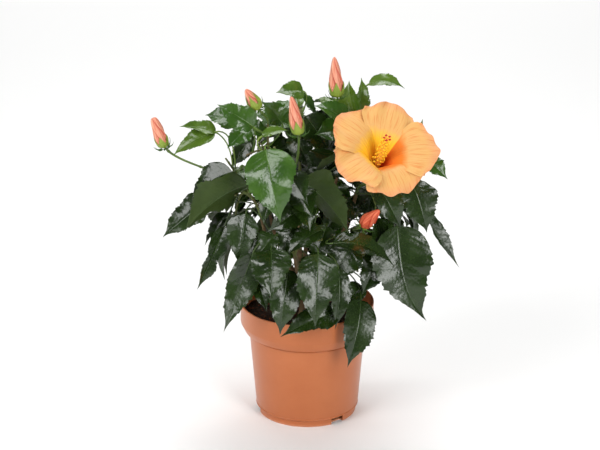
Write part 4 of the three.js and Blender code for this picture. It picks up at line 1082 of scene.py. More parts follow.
velvety = dict(relief_scale=2500.0, depth=0.0002, strength=0.8)
# The flower stalks' darker green is painted shade
shaded_stalk_green = natural_finish("flower_stalk", *FLOWER_STALK_GREEN_AND_SHADE, 40.0, 0.48)
flower_parts = {
    "stamen_column": (column, "petals", natural_finish("column_skin", *COLUMN_TINT, 60.0, 0.5)),
    "filaments": (filaments, "petals", natural_finish("filament_skin", *COLUMN_TINT, 80.0, 0.5)),
    "anthers": (anthers, "petals", natural_finish("pollen", *POLLEN, 300.0, 0.8, **velvety)),
    "stigma_pads": (pads, "petals", natural_finish("stigma_velvet", *STIGMA_RED, 400.0, 0.75, **velvety)),
    "calyxes": (sepals, "buds", natural_finish("calyx_green", *CALYX_GREEN, 60.0, 0.5)),
    "bracts": (bracts, "buds", natural_finish("bract_green", *BRACT_GREEN, 60.0, 0.5)),
    "flower_stalks": (flower_stalks, "leaves", shaded_stalk_green),
}
for name, (bundle, slot_name, skin) in flower_parts.items():
    dress(bundle.make(name, [skin], 50 if name == "calyxes" else 60), slot_name)

# Leaves: glossy toothed blades on slim stalks, one to a joint of the shoot. Those that show plainly
# have places of their own, and the rest grow by a seeded rule wherever it finds enough room.
LEAF_WIDEST = 0.32
LEAF_SHAPE_BASE = 0.55
LEAF_SHAPE_TIP = 1.17
LEAF_WAVE = 0.12
CROWN_CENTRE = np.array([2, 8, 212.0])
CROWN_RADII = np.array([118, 116, 104.0])
# Places that are taken farther off than this leave room for anything
NEARBY = 22
POT_GUARD_RADIUS = 72
POT_GUARD_HEIGHT = 122
SPACE_BLADE = 3
SPACE_STALK = 1.3
SAME_MASS_SHARE = 0.72
GROWING_TRIES = 1500
LAST_LEAF_SHARE = 0.6
# What the rule draws for a leaf. Its root is a share of the shoot, its width a share of its length.
GROWN_LEAF = dict(root=(0.2, 0.78), rise=(0.7, -1.1), stalk=(10, 16), droop=(-0.2, -0.9), length=(44, 26),
                  width=(0.56, 0.1), fold=(10, 12), arch=(0.06, 0.1))
USUAL_LEAF = dict(arch=0.1, tone="dark", sway=0, waist=0, tuck=0)
GAP_SIGHT = np.array([0, -0.94, 0.35])
GAP_DEPTH = 100
sky_gaps = [((-66, 0, 268), 12), ((-96, 0, 265), 13), ((-7, 0, 280), 6)]
VIEWER = (0, -0.85, 0.5)
HANGING = (0, -0.95, 0.3)
SKYWARD = (0, -0.3, 0.95)
TURNED_AWAY = (-0.1, 0.75, 0.6)


def leaf(base, tip, width, face, fold, **more):
    """A leaf by its base and tip, its width, the way its upper side faces and its fold in degrees.
    More can be its arch, tone, the sway of its tip, its waist, and how far it is tucked back."""
    return dict(base=base, tip=tip, width=width, face=face, fold=fold, **more)


# Leaves that show plainly from the front, by mass, and those that hang over the back of the pot
shown_leaves = {
    "left": [
        leaf((-56, -46, 250), (-115, -62, 209), 54, TURNED_AWAY, 14),
        leaf((-70, -36, 258), (-110, -44, 229), 32, (-0.5, -0.5, 0.7), 24, tuck=8),
        leaf((-95, -16, 222), (-138, -26, 189), 32, (-0.3, -0.7, 0.6), 14, arch=0.04),
        leaf((-78, -38, 205), (-105, -46, 143), 22, (0.3, -0.9, 0.3), 26, arch=0.05, waist=0.4),
        leaf((-86, -22, 293), (-120, -26, 300), 17, (0, -0.5, 0.85), 20, tone="young"),
        leaf((-87, -24, 294), (-126, -30, 273), 22, (-0.2, -0.6, 0.75), 10, tone="young"),
    ],
    "upper_left": [
        leaf((-50, -42, 305), (-84, -36, 325), 26, (-0.2, -0.75, 0.6), 12, tone="mid"),
        leaf((-62, -12, 299), (-97, 0, 303), 26, (-0.1, -0.6, 0.75), 14, tone="mid"),
        leaf((-52, -4, 284), (-72, -10, 254), 20, VIEWER, 12),
        leaf((-54, -30, 299), (-75, -40, 283), 22, (-0.4, -0.8, 0.4), 16, tone="mid"),
        leaf((-24, -6, 297), (-43, -14, 321), 26, (0.1, -0.8, 0.6), 12, tone="mid"),
    ],
    "top": [
        leaf((-4, 8, 324), (-30, -6, 327), 20, (-0.2, -0.75, 0.6), 12, tone="young"),
        leaf((-2, 2, 301), (24, -3, 262), 32, (0.2, -0.8, 0.5), 12),
        leaf((-8, 10, 320), (8, 14, 294), 18, (0.5, -0.3, 0.8), 16, tone="mid"),
        leaf((-12, 2, 286), (2, -6, 250), 24, VIEWER, 12),
    ],
    "upper_right": [
        leaf((36, -14, 302), (6, -24, 320), 26, (0, -0.6, 0.8), 16, tone="mid"),
        leaf((42, -9, 291), (6, -17, 289), 33, (0, -0.75, 0.65), 12, tone="mid"),
        leaf((26, -12, 270), (2, -26, 232), 36, (-0.2, -0.8, 0.5), 12),
        leaf((58, 8, 331), (92, 4, 328), 18, (0, -0.45, 0.9), 14, arch=0.2, tone="young"),
        leaf((44, -2, 306), (39, -2, 338), 24, (-0.4, -0.85, 0.3), 22, tone="young"),
        leaf((47, 6, 304), (51, 10, 337), 20, (0.5, -0.75, 0.3), 24, tone="young"),
        leaf((98, -6, 276), (109, -8, 302), 14, (0.3, -0.8, 0.5), 20, tone="young"),
    ],
    "right": [
        leaf((40, -14, 224), (14, -26, 190), 30, VIEWER, 12),
        leaf((110, -10, 262), (133, -16, 244), 20, (0.4, -0.7, 0.6), 16, tone="mid"),
        leaf((98, -26, 245), (113, -38, 198), 36, (0.3, -0.9, 0.3), 14),
        leaf((113, -4, 206), (147, -8, 151), 20, (0.7, -0.6, 0.4), 34, arch=-0.04),
        leaf((67, -40, 245), (88, -48, 206), 27, (0.1, -0.8, 0.55), 16),
        leaf((85, -34, 204), (94, -54, 112), 57, (0.1, -0.95, 0.3), 13, arch=0.04, sway=-20),
        leaf((66, 12, 236), (56, 3, 196), 30, VIEWER, 12),
        leaf((82, -10, 160), (56, -14, 140), 18, (0, -0.5, 0.85), 16),
        leaf((24, -70, 200), (82, -64, 174), 30, SKYWARD, 12, arch=0.16),
    ],
    "front": [
        leaf((-39, -58, 288), (-25, -80, 224), 47, HANGING, 13, tone="mid"),
        leaf((-6, -40, 252), (39, -56, 204), 46, TURNED_AWAY, 12),
        leaf((31, -30, 270), (5, -42, 254), 24, (0, 0.6, 0.8), 14),
        leaf((-42, -48, 298), (-17, -43, 302), 13, (0, -0.4, 0.9), 14, tone="young"),
    ],
    "front_low": [
        leaf((14, -50, 206), (-20, -62, 184), 28, SKYWARD, 14),
        leaf((2, -42, 228), (-38, -56, 206), 30, VIEWER, 12),
        leaf((-14, -38, 206), (-24, -50, 176), 24, VIEWER, 12),
        leaf((18, -38, 205), (6, -50, 172), 26, VIEWER, 12),
        leaf((-30, -52, 201), (-51, -64, 177), 24, (-0.3, -0.7, 0.6), 14),
        leaf((-58, -44, 220), (-65, -58, 172), 30, (-0.2, -0.95, 0.3), 18, arch=0.03),
        leaf((-51, -62, 187), (-79, -80, 114), 30, (-0.1, -0.95, 0.3), 14, arch=-0.05),
        leaf((-34, -67, 192), (-33, -96, 153), 38, VIEWER, 16),
        leaf((-18, -66, 172), (-26, -86, 113), 32, HANGING, 15),
        leaf((-48, -54, 162), (-38, -74, 132), 20, (0, -0.8, 0.5), 16),
        leaf((10, -72, 190), (7, -100, 127), 39, VIEWER, 14),
        leaf((30, -64, 128), (-26, -82, 110), 28, (0.1, -0.6, 0.75), 18),
        leaf((29, -58, 170), (26, -76, 115), 22, (0.4, -0.85, 0.3), 18),
    ],
    "right_low": [
        leaf((44, -36, 187), (18, -50, 148), 34, VIEWER, 14),
        leaf((71, -30, 174), (52, -46, 138), 28, VIEWER, 14),
        leaf((51, -46, 133), (38, -72, 74), 34, (0.3, -0.85, 0.35), 15),
        leaf((52, -32, 142), (28, -52, 121), 22, (0.2, -0.6, 0.75), 14),
    ],
    "back_left": [
        leaf((-64, 42, 170), (-80, 46, 122), 31, (-0.9, 0.3, 0.3), 15),
        leaf((-36, 68, 170), (-44, 84, 122), 32, (-0.3, 0.9, 0.3), 14),
    ],
    "back": [
        leaf((-4, 74, 172), (-12, 90, 122), 32, (0, 0.95, 0.3), 15),
        leaf((22, 72, 176), (32, 90, 130), 30, (0.1, 0.95, 0.3), 13),
    ],
    "back_right": [
        leaf((56, 62, 164), (62, 78, 119), 31, (0.4, 0.9, 0.3), 14),
        leaf((68, 38, 172), (84, 44, 124), 31, (0.9, 0.3, 0.3), 15),
    ],
}


def blade_half_width(blade, u):
    def shape(x):
        return x**LEAF_SHAPE_BASE * (1 - x) ** LEAF_SHAPE_TIP

    return blade["width"] / 2 * shape(u) / shape(LEAF_WIDEST)


def blade_of(given):
    """The blade of a leaf: its arched midrib, the way it faces, and its fold"""
    made = {**USUAL_LEAF, **given}
    base, tip = np.array(made["base"], float), np.array(made["tip"], float)
    length = np.linalg.norm(tip - base)
    along = (tip - base) / length
    face = np.array(made["face"], float)
    face = unit(face - along * face.dot(along))
    bend = base + 0.45 * (tip - base) + 2 * made["arch"] * length * face
    fold = math.radians(made["fold"])
    return dict(made, midrib=Curve(base, bend, tip), face=face, length=length, fold=fold)


def drawn_blade(draw, rule, base, way, length, face, **more):
    """A blade that goes this way from its base, with its width, fold and arch drawn by the rule"""
    width, fold, arch = (drawn(draw, rule[part]) for part in ("width", "fold", "arch"))
    return blade_of(leaf(base, base + length * way, length * width, face, fold, arch=arch, **more))


def blade_place(blade, u, a):
    """Places on a blade: u runs from its base to its tip, a from one margin to the other"""
    u, a = np.asarray(u, float), np.asarray(a, float)
    along = blade["midrib"].heading(u)
    side = unit(np.cross(along, blade["face"]))
    normal = np.cross(side, along)
    half = blade_half_width(blade, u)
    wave = LEAF_WAVE * a * a * np.sin(9.5 * u + np.where(a > 0, 0, 2))
    out = a * half * math.cos(blade["fold"]) + blade["sway"] * u**4
    lift = half * (np.abs(a) * math.sin(blade["fold"]) + wave)
    place = blade["midrib"].at(u) + out[..., None] * side + lift[..., None] * normal
    return place, side, normal


def stalk_of(blade, root):
    base = blade["midrib"].at(0.0)
    reach = np.linalg.norm(base - root)
    return Curve(root, base - 0.45 * reach * blade["midrib"].heading(0.0), base)


class Room:
    """The places that are taken already, each with the space round it and its owner"""

    def __init__(self):
        self.at = np.zeros((0, 3))
        self.space = np.zeros(0)
        self.owner = np.zeros(0, int)
        self.names = []

    def number(self, owner):
        if owner not in self.names:
            self.names.append(owner)
        return self.names.index(owner)

    def take(self, places, space, owner):
        places = np.asarray(places, float).reshape(-1, 3)
        self.at = np.concatenate([self.at, places])
        self.space = np.concatenate([self.space, np.full(len(places), float(space))])
        self.owner = np.concatenate([self.owner, np.full(len(places), self.number(owner))])

    def is_free(self, places, space, owner):
        places = np.asarray(places, float).reshape(-1, 3)
        near = np.all((self.at > places.min(0) - NEARBY) & (self.at < places.max(0) + NEARBY), axis=1)
        if not near.any():
            return True
        share = np.where(self.owner[near] == self.number(owner), SAME_MASS_SHARE, 1)
        need = (self.space[near] + space) * share
        gaps = ((places[:, None] - self.at[near][None]) ** 2).sum(-1)
        return bool(np.all(gaps >= need**2))


def blade_marks(blade):
    """Places over a blade by which its room is taken and tried"""
    u, a = np.meshgrid(np.linspace(0.06, 0.98, 9), np.linspace(-1, 1, 5), indexing="ij")
    return blade_place(blade, u.ravel(), a.ravel())[0]


def stays_inside(places, mass):
    """Whether they keep to the crown and the mass's own reach, and don't sink into the pot"""
    crown = np.linalg.norm((places - CROWN_CENTRE) / CROWN_RADII, axis=1)
    reach = np.linalg.norm(places - np.array(mass["middle"]), axis=1)
    off_pot = np.hypot(places[:, 0], places[:, 1]) > POT_GUARD_RADIUS
    clear = off_pot | (places[:, 2] > POT_GUARD_HEIGHT)
    return bool(np.all(crown <= 1) and np.all(reach <= mass["reach"]) and np.all(clear))


# What has its place before any leaf: boughs, shoots, buds, the gaps to the sky, and the bloom
room = Room()
for name, curve in bough_of.items():
    room.take(curve.points(25), BOUGH_ROOT_RADIUS + 0.8, f"bough {name}")
for name, shoots in shoots_of.items():
    for curve, _ in shoots:
        room.take(curve.points(13), SPACE_STALK + 0.4, name)
for name, bud in buds.items():
    room.take(bud["stalk"].points(11), SPACE_STALK, f"bud {name}")
    room.take(Curve(bud["foot"], bud["tip"]).points(9), bud["width"] / 2, f"bud {name}")
for middle, radius in sky_gaps:
    room.take(np.array(middle) + np.outer(np.linspace(-GAP_DEPTH, GAP_DEPTH, 21), GAP_SIGHT), radius, "sky")
for turn in PETAL_TURNS:
    rows, columns = np.meshgrid(np.linspace(0.1, 1, 8), np.linspace(-1, 1, 8), indexing="ij")
    room.take(petal_place(turn, rows.ravel(), columns.ravel()), SPACE_BLADE, "bloom")
room.take(bloom_stalk.points(11), SPACE_STALK + 0.6, "bloom")
room.take(Curve(bloom_stalk.at(1.0), BLOOM_THROAT).points(6), 7, "bloom")


def place_shown(name):
    """The leaves that show plainly, each rooted at the nearest joint that is still free"""
    roots = [curve.at(t) for curve, _ in shoots_of[name] for t in np.linspace(0.2, 0.86, 9)]
    leaves = []
    for shown in shown_leaves[name]:
        blade = blade_of(shown)
        base = blade["midrib"].at(0.0)
        nearest = min(range(len(roots)), key=lambda i: np.linalg.norm(roots[i] - base))
        stalk = stalk_of(blade, roots.pop(nearest))
        room.take(blade_marks(blade), SPACE_BLADE, name)
        room.take(stalk.points(7), SPACE_STALK, name)
        leaves.append((blade, stalk))
    return leaves


def grow_leaves(name):
    """The seeded rule: leaves turn by the golden angle round the shoots, head outward and droop"""
    mass, shoots = masses[name], shoots_of[name]
    draw = seeded_numbers(mass["seed"] * 2000 + 3)
    leaves = []
    for attempt in range(GROWING_TRIES):
        if len(leaves) >= mass["grown"]:
            break
        root = shoots[attempt % len(shoots)][0].at(drawn(draw, GROWN_LEAF["root"]))
        turn = mass["seed"] + attempt * GOLDEN_ANGLE
        heading = spread_way(root, turn, 0.8, 0.75, drawn(draw, GROWN_LEAF["rise"]))
        share = 1 - (1 - LAST_LEAF_SHARE) * (attempt / GROWING_TRIES)
        base = root + share * drawn(draw, GROWN_LEAF["stalk"]) * heading
        fall = unit(heading + UP * drawn(draw, GROWN_LEAF["droop"]))
        length = share * drawn(draw, GROWN_LEAF["length"])
        face = 0.5 * away_from_middle(root) + 0.9 * UP
        blade = drawn_blade(draw, GROWN_LEAF, base, fall, length, face)
        stalk = stalk_of(blade, root)
        marks, stalk_marks = blade_marks(blade), stalk.points(7)[2:]
        if not stays_inside(marks, mass):
            continue
        if room.is_free(marks, SPACE_BLADE, name) and room.is_free(stalk_marks, SPACE_STALK, name):
            room.take(marks, SPACE_BLADE, name)
            room.take(stalk_marks, SPACE_STALK, name)
            leaves.append((blade, stalk))
    return leaves


leaves_of = {name: place_shown(name) for name in masses}
shown_count = {name: len(leaves) for name, leaves in leaves_of.items()}
for name in masses:
    leaves_of[name] += grow_leaves(name)

# Finer twigs fork from the shoots inside each mass's reach, and each carries a spray of small
# leaves. They fill the crown behind the leaves that show, and leave the gaps to the sky open.
# They are joined with the shoots into one piece of green wood.
FINE_TRIES = 600
FINE_TWIGS = 16
FINE_TWIG_LENGTH = (12, 14)
FINE_TWIG_ROOT = (0.15, 0.83)
FINE_TWIG_RISE = (0.6, -0.7)
FINE_LEAF_PLACES = (0.45, 0.7, 0.88, 1.0)
FINE_LEAF = dict(stalk=(4, 6), length=(18, 16), droop=(0.1, -0.7), width=(0.5, 0.12), fold=(12, 14),
                 arch=(0.05, 0.1))
FINE_SPACE = 1.5
FRONT_GUARD = -22
# Inside the crown the nearest limbs carry longer twigs: round which middle, how far out, how many
INNER_TWIGS = {
    "inner_left": dict(seed=33, middle=(-52, 40, 198), reach=44, most=14),
    "inner_back": dict(seed=35, middle=(12, 46, 186), reach=44, most=14),
    "inner_low": dict(seed=37, middle=(-6, 46, 158), reach=44, most=12),
    "inner_right": dict(seed=39, middle=(45, 36, 173), reach=46, most=16),
}
INNER_TWIG_LENGTH = (16, 28)
INNER_SPACE = 0.3
# The first stem of a mass starts a little before its curve does, so that it meets the bough's tip
STEM_ROOT = -0.01
SHOOT_STEM = dict(rings=40, sides=10, joint_spacing=9.0, swelling=0.2)
FINE_STEM = dict(radii=(0.7, 0.5), rings=16, sides=7, joint_spacing=6.0, swelling=0.2)


def fine_leaf(root, heading, draw):
    base = root + drawn(draw, FINE_LEAF["stalk"]) * heading
    length = drawn(draw, FINE_LEAF["length"])
    fall = unit(heading + UP * drawn(draw, FINE_LEAF["droop"]))
    tone = "young" if next(draw) < 0.3 else "mid" if next(draw) < 0.4 else "dark"
    face = (0.4 * heading[0], 0.4 * heading[1], 0.9)
    return drawn_blade(draw, FINE_LEAF, base, fall, length, face, tone=tone)


def grow_fine_twigs(name, mass, carriers, most, lengths, space):
    """Twigs on the carriers by the same rule, each kept where two or more of its leaves find room"""
    draw = seeded_numbers(mass["seed"] * 3000 + 11)
    twigs, leaves = [], []
    for attempt in range(FINE_TRIES):
        if len(twigs) >= most:
            break
        carrier = carriers[attempt % len(carriers)]
        t = drawn(draw, FINE_TWIG_ROOT)
        root = carrier.at(t)
        turn = mass["seed"] + attempt * GOLDEN_ANGLE
        heading = spread_way(root, turn, 0.6, 0.9, drawn(draw, FINE_TWIG_RISE))
        end = root + drawn(draw, lengths) * heading
        twig = shoot_curve(root, carrier.heading(t), end)
        spray = []
        for i, place in enumerate(FINE_LEAF_PLACES):
            lean = 0.25 if place == 1.0 else 1.0
            side = turn + (i + 1) * GOLDEN_ANGLE
            way = unit(twig.heading(place) + lean * np.array([math.cos(side), math.sin(side), 0.1]))
            blade = fine_leaf(twig.at(place), way, draw)
            marks = blade_marks(blade)
            fits = stays_inside(marks, mass) and marks[:, 1].min() > FRONT_GUARD
            if fits and room.is_free(marks, space, name):
                spray.append((blade, stalk_of(blade, twig.at(place)), marks))
        if len(spray) >= 2 and room.is_free(twig.points(6, 0.4), space / 2, name):
            twigs.append(twig)
            room.take(twig.points(8), 0.8, name)
            for blade, stalk, marks in spray:
                room.take(marks, space, name)
                leaves.append((blade, stalk))
    return twigs, leaves


grown_sprays = []
for name, mass in masses.items():
    carriers = [curve for curve, _ in shoots_of[name]]
    grown_sprays.append(grow_fine_twigs(name, mass, carriers, FINE_TWIGS, FINE_TWIG_LENGTH, FINE_SPACE))
limb_curves = [curve for shoots in shoots_of.values() for curve, _ in shoots] + list(bough_of.values())
for name, mass in INNER_TWIGS.items():
    near = [curve for curve in limb_curves if np.linalg.norm(curve.at(0.7) - mass["middle"]) < mass["reach"]]
    grown_sprays.append(grow_fine_twigs(name, mass, near, mass["most"], INNER_TWIG_LENGTH, INNER_SPACE))
fine_twigs = [twig for twigs, _ in grown_sprays for twig in twigs]
fine_leaves = [grown for _, leaves in grown_sprays for grown in leaves]

wood = Bundle()
for name, shoots in shoots_of.items():
    for number, (curve, radius) in enumerate(shoots):
        start = STEM_ROOT if number == 0 else 0.0
        wood.add(*jointed_stem(curve, start, (radius, SHOOT_TIP_RADIUS), **SHOOT_STEM))
for twig in fine_twigs:
    wood.add(*jointed_stem(twig, 0.0, **FINE_STEM))
shoot_skin = natural_finish("green_wood", SHOOT_BROWN, SHOOT_GREEN, 30.0, 0.6, relief_scale=500.0,
                            depth=0.0002, strength=0.4, contrast=3.5)
dress(wood.make("shoots_and_twigs", [shoot_skin]), "leaves", *(f"foliage_{name}" for name in masses))

# Leaf blades, veins, stalks and stipules. A row of a blade runs forward from the midrib along a side
# vein or between two, so that creases, veins and teeth follow each other. The two faces are a third
# of a millimetre apart and meet at the margin. Young leaves are paler. Old leaves are dark, and the
# dark green of the leaves inside the crown is also painted shade.
VEIN_STARTS = (0.0, 0.07, 0.17, 0.29, 0.42, 0.55, 0.68, 0.80)
VEIN_SLANT = 0.27
LEAF_THICKNESS = 0.34
QUILT_DEPTH = 0.010
EDGE_LOBES = 0.055
DRIP_WAIST = 0.45
MARGIN_RUFFLE = 0.085
CREASES = ((0.9, 0.5), (-0.6, 1.0), (1.2, -0.4), (0.3, 1.3))
CREASE_DEPTH = 0.035
MIDRIB_GROOVE = 0.35
TOOTH_DEPTH = 0.105
MIDRIB_RADII = (0.5, 0.13)
SIDE_VEIN_RADII = (0.21, 0.08)
STALK_RADIUS = 0.68
STIPULE_LENGTH = 7

# Three greens, each with its underside, veins and stalk. The paler ones are younger leaves; the dark one is
# partly the older leaves' own green and partly painted shade for the leaves deep in the crown.
LEAF_TONES = {
    "dark": dict(upper=(linear(0.085, 0.15, 0.035), linear(0.145, 0.225, 0.06)),
                 under=(linear(0.17, 0.235, 0.08), linear(0.225, 0.295, 0.11)),
                 vein=(linear(0.17, 0.26, 0.09), linear(0.26, 0.35, 0.14)),
                 stalk=(linear(0.17, 0.26, 0.08), linear(0.28, 0.36, 0.13))),
    "mid": dict(upper=(linear(0.16, 0.285, 0.07), linear(0.255, 0.39, 0.12)),
                under=(linear(0.23, 0.33, 0.12), linear(0.30, 0.40, 0.17)),
                vein=(linear(0.30, 0.43, 0.16), linear(0.38, 0.51, 0.22)),
                stalk=(linear(0.30, 0.43, 0.14), linear(0.43, 0.53, 0.22))),
    "young": dict(upper=(linear(0.22, 0.335, 0.08), linear(0.35, 0.46, 0.14)),
                  under=(linear(0.31, 0.42, 0.16), linear(0.40, 0.50, 0.23)),
                  vein=(linear(0.38, 0.50, 0.21), linear(0.48, 0.58, 0.29)),
                  stalk=(linear(0.38, 0.50, 0.18), linear(0.51, 0.60, 0.27))),
}
# Grown leaves whose middle is above this height take the mid green rather than the dark one, the painted
# shade
MID_TONE_HEIGHT = 292
FINE_COLUMNS = (0.06, 0.17, 0.29, 0.42, 0.55, 0.68, 0.80, 0.91, 1.0)
PLAIN_COLUMNS = (0.10, 0.30, 0.54, 0.78, 1.0)
SPARE_COLUMNS = (0.14, 0.5, 1.0)
# How finely a leaf is made: rows between two veins, columns a side, steps along a vein, its size
LEAF_MAKES = {
    "shown": dict(between=5, columns=FINE_COLUMNS, steps=9, size=1.0),
    "grown": dict(between=3, columns=PLAIN_COLUMNS, steps=6, size=0.9),
    "fine": dict(between=1, columns=SPARE_COLUMNS, steps=4, size=0.6),
}


def eased(start, end, x):
    """0 before the start, 1 after the end, and a smooth rise between"""
    share = np.clip((x - start) / (end - start), 0, 1)
    return share * share * (3 - 2 * share)


def lie_of(number):
    """What makes one leaf lie unlike the next: where its waves fall, and how deep they are"""
    draw = np.random.default_rng(900 + number)
    phase = draw.uniform(0, 2 * math.pi, 8)
    depth = draw.uniform(0.5, 1.4, 2)
    teeth = draw.uniform(0.5, 1.4, 90)
    return dict(phase=phase, depth=depth, teeth=teeth)


def leaf_skin(blade, lie, u, a):
    """Places on the finished blade: lobed and ruffled at its margin, creased between its veins"""
    phase, depth = lie["phase"], lie["depth"]
    half = blade_half_width(blade, u)
    other_side = np.where(a > 0, 0.0, 2.1)
    lobes = np.sin(7.5 * u + phase[0] + other_side) + 0.6 * np.sin(17 * u + phase[1] - other_side)
    narrowing = DRIP_WAIST * eased(0.74, 0.93, u) + blade["waist"] * np.exp(-(((u - 0.5) / 0.1) ** 2))
    place, _, normal = blade_place(blade, u, a * (1 + EDGE_LOBES * lobes) * (1 - narrowing))
    ruffle = depth[0] * a * a * np.sin(14 * u + phase[2] + other_side)
    ruffle = ruffle + 0.4 * depth[1] * np.abs(a) ** 3 * np.sin(31 * u + phase[3] - other_side)
    along, across = u * blade["length"], a * half
    creases = sum(np.sin(x * along + y * across + turn) for (x, y), turn in zip(CREASES, phase[4:]))
    lift = MARGIN_RUFFLE * half * ruffle + CREASE_DEPTH * creases * np.minimum(1, half / 7)
    lift = lift - MIDRIB_GROOVE * np.exp(-((across / 1.3) ** 2))
    place = place + lift[..., None] * normal
    place[..., 1] += blade["tuck"] * np.sin(math.pi * u)
    return place, normal


def vein_rows(between):
    """Rows of a blade: where each starts on the midrib, its slant, and its share of the way on to
    the next vein"""
    rows = [(0.0, VEIN_SLANT * share, 0.5) for share in (0.12, 0.4, 0.7)]
    for first, second in zip(VEIN_STARTS, VEIN_STARTS[1:]):
        for share in np.arange(between + 1) / (between + 1):
            start = first + (second - first) * share
            rows.append((start, VEIN_SLANT * (1 - start), share))
    last = VEIN_STARTS[-1]
    for share in (0.0, 0.22, 0.45, 0.68, 0.86, 0.96):
        start = last + (1 - last) * share
        rows.append((start, VEIN_SLANT * (1 - start), 0.0 if share == 0 else 0.5))
    return np.array(rows)


def along_row(start, slant, a):
    """How far along the blade a row is, at each share of the way out to the margin"""
    return np.minimum(start + slant * np.abs(a) ** 1.15 * (1 - 0.25 * np.abs(a)), 0.995)


def tooth_shape(share):
    """The margin rises to a tooth at the end of each vein and falls back behind it, with a small
    tooth half way"""
    whole = np.where(share == 0, 1.0, share)
    small = np.where(share == 0, 1.0, np.where(2 * share <= 1, 2 * share, 2 * share - 1))
    return 1.2 * whole + 0.8 * small - 1.0


def leaf_sides(blade, lie, make):
    """Upper and lower places of a blade, row by row"""
    start, slant, share = vein_rows(make["between"]).T[:, :, None]
    a = np.concatenate([-np.array(make["columns"][::-1]), [0.0], make["columns"]])[None, :]
    u = along_row(start, slant, a)
    vein = (np.cumsum(share[:, 0] == 0) * 2)[:, None] + (a > 0)
    teeth = TOOTH_DEPTH * lie["teeth"][vein] * tooth_shape(share) * eased(0.22, 0.5, u)
    place, normal = leaf_skin(blade, lie, u, a * np.where(np.abs(a) > 0.99, 1 + teeth, 1))
    half = blade_half_width(blade, u)
    quilt = QUILT_DEPTH * half * np.sin(math.pi * share) * np.sin(math.pi * np.abs(a) ** 0.8)
    place = place + quilt[..., None] * normal
    apart = np.where(np.abs(a) > 0.99, 0.0, LEAF_THICKNESS / 2) * np.ones_like(u)
    return place + apart[..., None] * normal, place - apart[..., None] * normal


def leaf_mesh(blade, lie, make):
    """A closed thin leaf: its upper side, its underside, and the margin where they meet"""
    upper, lower = leaf_sides(blade, lie, make)
    rows, wide = upper.shape[:2]
    tip = leaf_skin(blade, lie, np.array([1.0]), np.array([0.0]))[0]
    base = blade["midrib"].at([0.0])
    corners = np.concatenate([upper.reshape(-1, 3), lower[:, 1:-1].reshape(-1, 3), tip, base])
    tip_at, base_at = len(corners) - 2, len(corners) - 1
    top = np.arange(rows * wide).reshape(rows, wide)
    under = top.copy()
    under[:, 1:-1] = rows * wide + np.arange(rows * (wide - 2)).reshape(rows, wide - 2)
    faces, slots = [], []
    for slot, ids in enumerate((top, under[:, ::-1])):
        quads = np.stack([ids[:-1, :-1], ids[:-1, 1:], ids[1:, 1:], ids[1:, :-1]], -1)
        quads = quads.reshape(-1, 4).tolist()
        fans = [(left, right, tip_at) for left, right in zip(ids[-1], ids[-1, 1:])]
        fans += [(right, left, base_at) for left, right in zip(ids[0], ids[0, 1:])]
        faces += quads + fans
        slots += [slot] * (len(quads) + len(fans))
    return corners, faces, slots


def leaf_veins(blade, lie, make, side_veins):
    """Slim ribs along the midrib and the side veins, proud of both faces of the blade"""
    size = min(1.0, 0.45 + blade["length"] / 110)
    u = np.linspace(0.0, 0.97, 3 * make["steps"])
    ribs = [tube(leaf_skin(blade, lie, u, np.zeros_like(u))[0], size * np.linspace(*MIDRIB_RADII, len(u)), 6)]
    if side_veins:
        for start in VEIN_STARTS:
            for way in (-1, 1):
                a = way * np.linspace(0.02, 0.93, make["steps"])
                u = along_row(start, VEIN_SLANT * (1 - start), a)
                radii = size * np.linspace(*SIDE_VEIN_RADII, make["steps"]) * (1.2 - 0.5 * start)
                ribs.append(tube(leaf_skin(blade, lie, u, a)[0], radii, 4))
    return ribs


def tone_of(blade, shown):
    """Leaves that grew by the rule are painted dark for the shade inside the crown, but those near its top
    take the mid green
    """
    if shown or blade["tone"] != "dark":
        return blade["tone"]
    return "mid" if blade["midrib"].at(0.5)[2] > MID_TONE_HEIGHT else "dark"


def spray_of(blade, tone):
    """Leaves, veins and stalks are joined by tone, and the dark ones by the side of the crown too"""
    if tone != "dark":
        return tone
    x, y, _ = blade["midrib"].at(0.5)
    return "dark_back" if y > 20 else "dark_left" if x < -12 else "dark_right"


def stipules_of(stalk):
    """The two thin spikes that stand beside the foot of a leaf stalk"""
    start, lead = stalk.at(0.03), stalk.heading(0.0)
    beside = unit(np.cross(lead, UP) + (0.01, 0, 0))
    for way in (-1, 1):
        end = start + STIPULE_LENGTH * unit(lead + 0.7 * way * beside + 0.6 * UP)
        curve = Curve(start, start + 0.5 * STIPULE_LENGTH * unit(lead + way * beside), end)
        yield tube(curve.points(7), np.linspace(0.45, 0.08, 7), 5)


sprays = {}


def add_leaf(blade, stalk, number, kind):
    """Put a leaf's blade, veins, stalk and stipules with the others of its tone and side"""
    make, lie = LEAF_MAKES[kind], lie_of(number)
    tone = tone_of(blade, kind == "shown")
    empty = dict(tone=tone, blades=Bundle(), veins=Bundle(), stalks=Bundle())
    spray = sprays.setdefault(spray_of(blade, tone), empty)
    spray["blades"].add(*leaf_mesh(blade, lie, make))
    for rib in leaf_veins(blade, lie, make, kind != "fine"):
        spray["veins"].add(*rib)
    share = np.linspace(0, 1, 10)
    swollen = 1 + 0.35 * np.exp(-((share / 0.08) ** 2)) + 0.25 * np.exp(-(((1 - share) / 0.08) ** 2))
    spray["stalks"].add(*tube(stalk.at(share), make["size"] * STALK_RADIUS * swollen, 7))
    if kind == "shown":
        for stipule in stipules_of(stalk):
            spray["stalks"].add(*stipule)


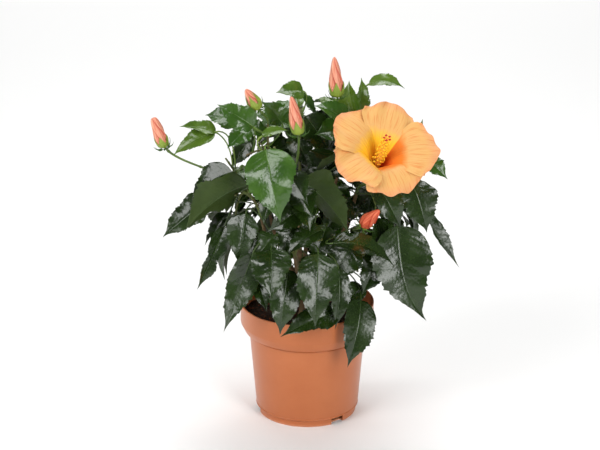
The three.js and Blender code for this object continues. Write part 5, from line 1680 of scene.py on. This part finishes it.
all_leaves = []
for name, leaves in leaves_of.items():
    kinds = ["shown"] * shown_count[name] + ["grown"] * (len(leaves) - shown_count[name])
    all_leaves += zip(leaves, kinds)
all_leaves += [(grown, "fine") for grown in fine_leaves]
for number, ((blade, stalk), kind) in enumerate(all_leaves):
    add_leaf(blade, stalk, number, kind)


def make_leaf_cells():
    """Height of the small cells between a leaf's finest veins"""
    tree, given, out = new_group("leaf_cells", {"Scale": ("Float", 380.0)}, {"Height": "Float"})
    place = new_node(tree, "TexCoord")
    cells = new_node(tree, "TexVoronoi", feature="SMOOTH_F1", Smoothness=0.6)
    turn_over = new_node(tree, "Math", operation="SUBTRACT")
    turn_over.inputs[0].default_value = 1.0
    wire(tree, (place, "Object", cells, "Vector"), (given, "Scale", cells, "Scale"),
         (cells, "Distance", turn_over, 1), (turn_over, 0, out, "Height"))
    return tree


LEAF_CELLS = make_leaf_cells()
WAXY = dict(roughness=0.24, gloss=0.56, strength=0.3)
DULL = dict(roughness=0.49, gloss=0.25, strength=0.4)


def leaf_finish(name, low, high, roughness, gloss, strength):
    """Leaf skin: waxy and glossy above, duller below, with small cells between its finest veins"""
    return natural_finish(name, low, high, 38.0, roughness, relief=LEAF_CELLS, relief_scale=380.0,
                          depth=0.0005, strength=strength, contrast=2.4, gloss=gloss)


leaf_skins = {}
for tone, colours in LEAF_TONES.items():
    leaf_skins[tone] = dict(
        upper=leaf_finish(f"{tone}_leaf_upper", *colours["upper"], **WAXY),
        under=leaf_finish(f"{tone}_leaf_underside", *colours["under"], **DULL),
        vein=natural_finish(f"{tone}_vein", *colours["vein"], 40.0, 0.42),
        stalk=natural_finish(f"{tone}_stalk", *colours["stalk"], 30.0, 0.45))
for spray_name, spray in sprays.items():
    skins = leaf_skins[spray["tone"]]
    dress(spray["blades"].make(f"{spray_name}_leaves", [skins["upper"], skins["under"]], 80), "leaves")
    dress(spray["veins"].make(f"{spray_name}_leaf_veins", [skins["vein"]], 0), "leaves")
    dress(spray["stalks"].make(f"{spray_name}_leaf_stalks", [skins["stalk"]], 60), "leaves")
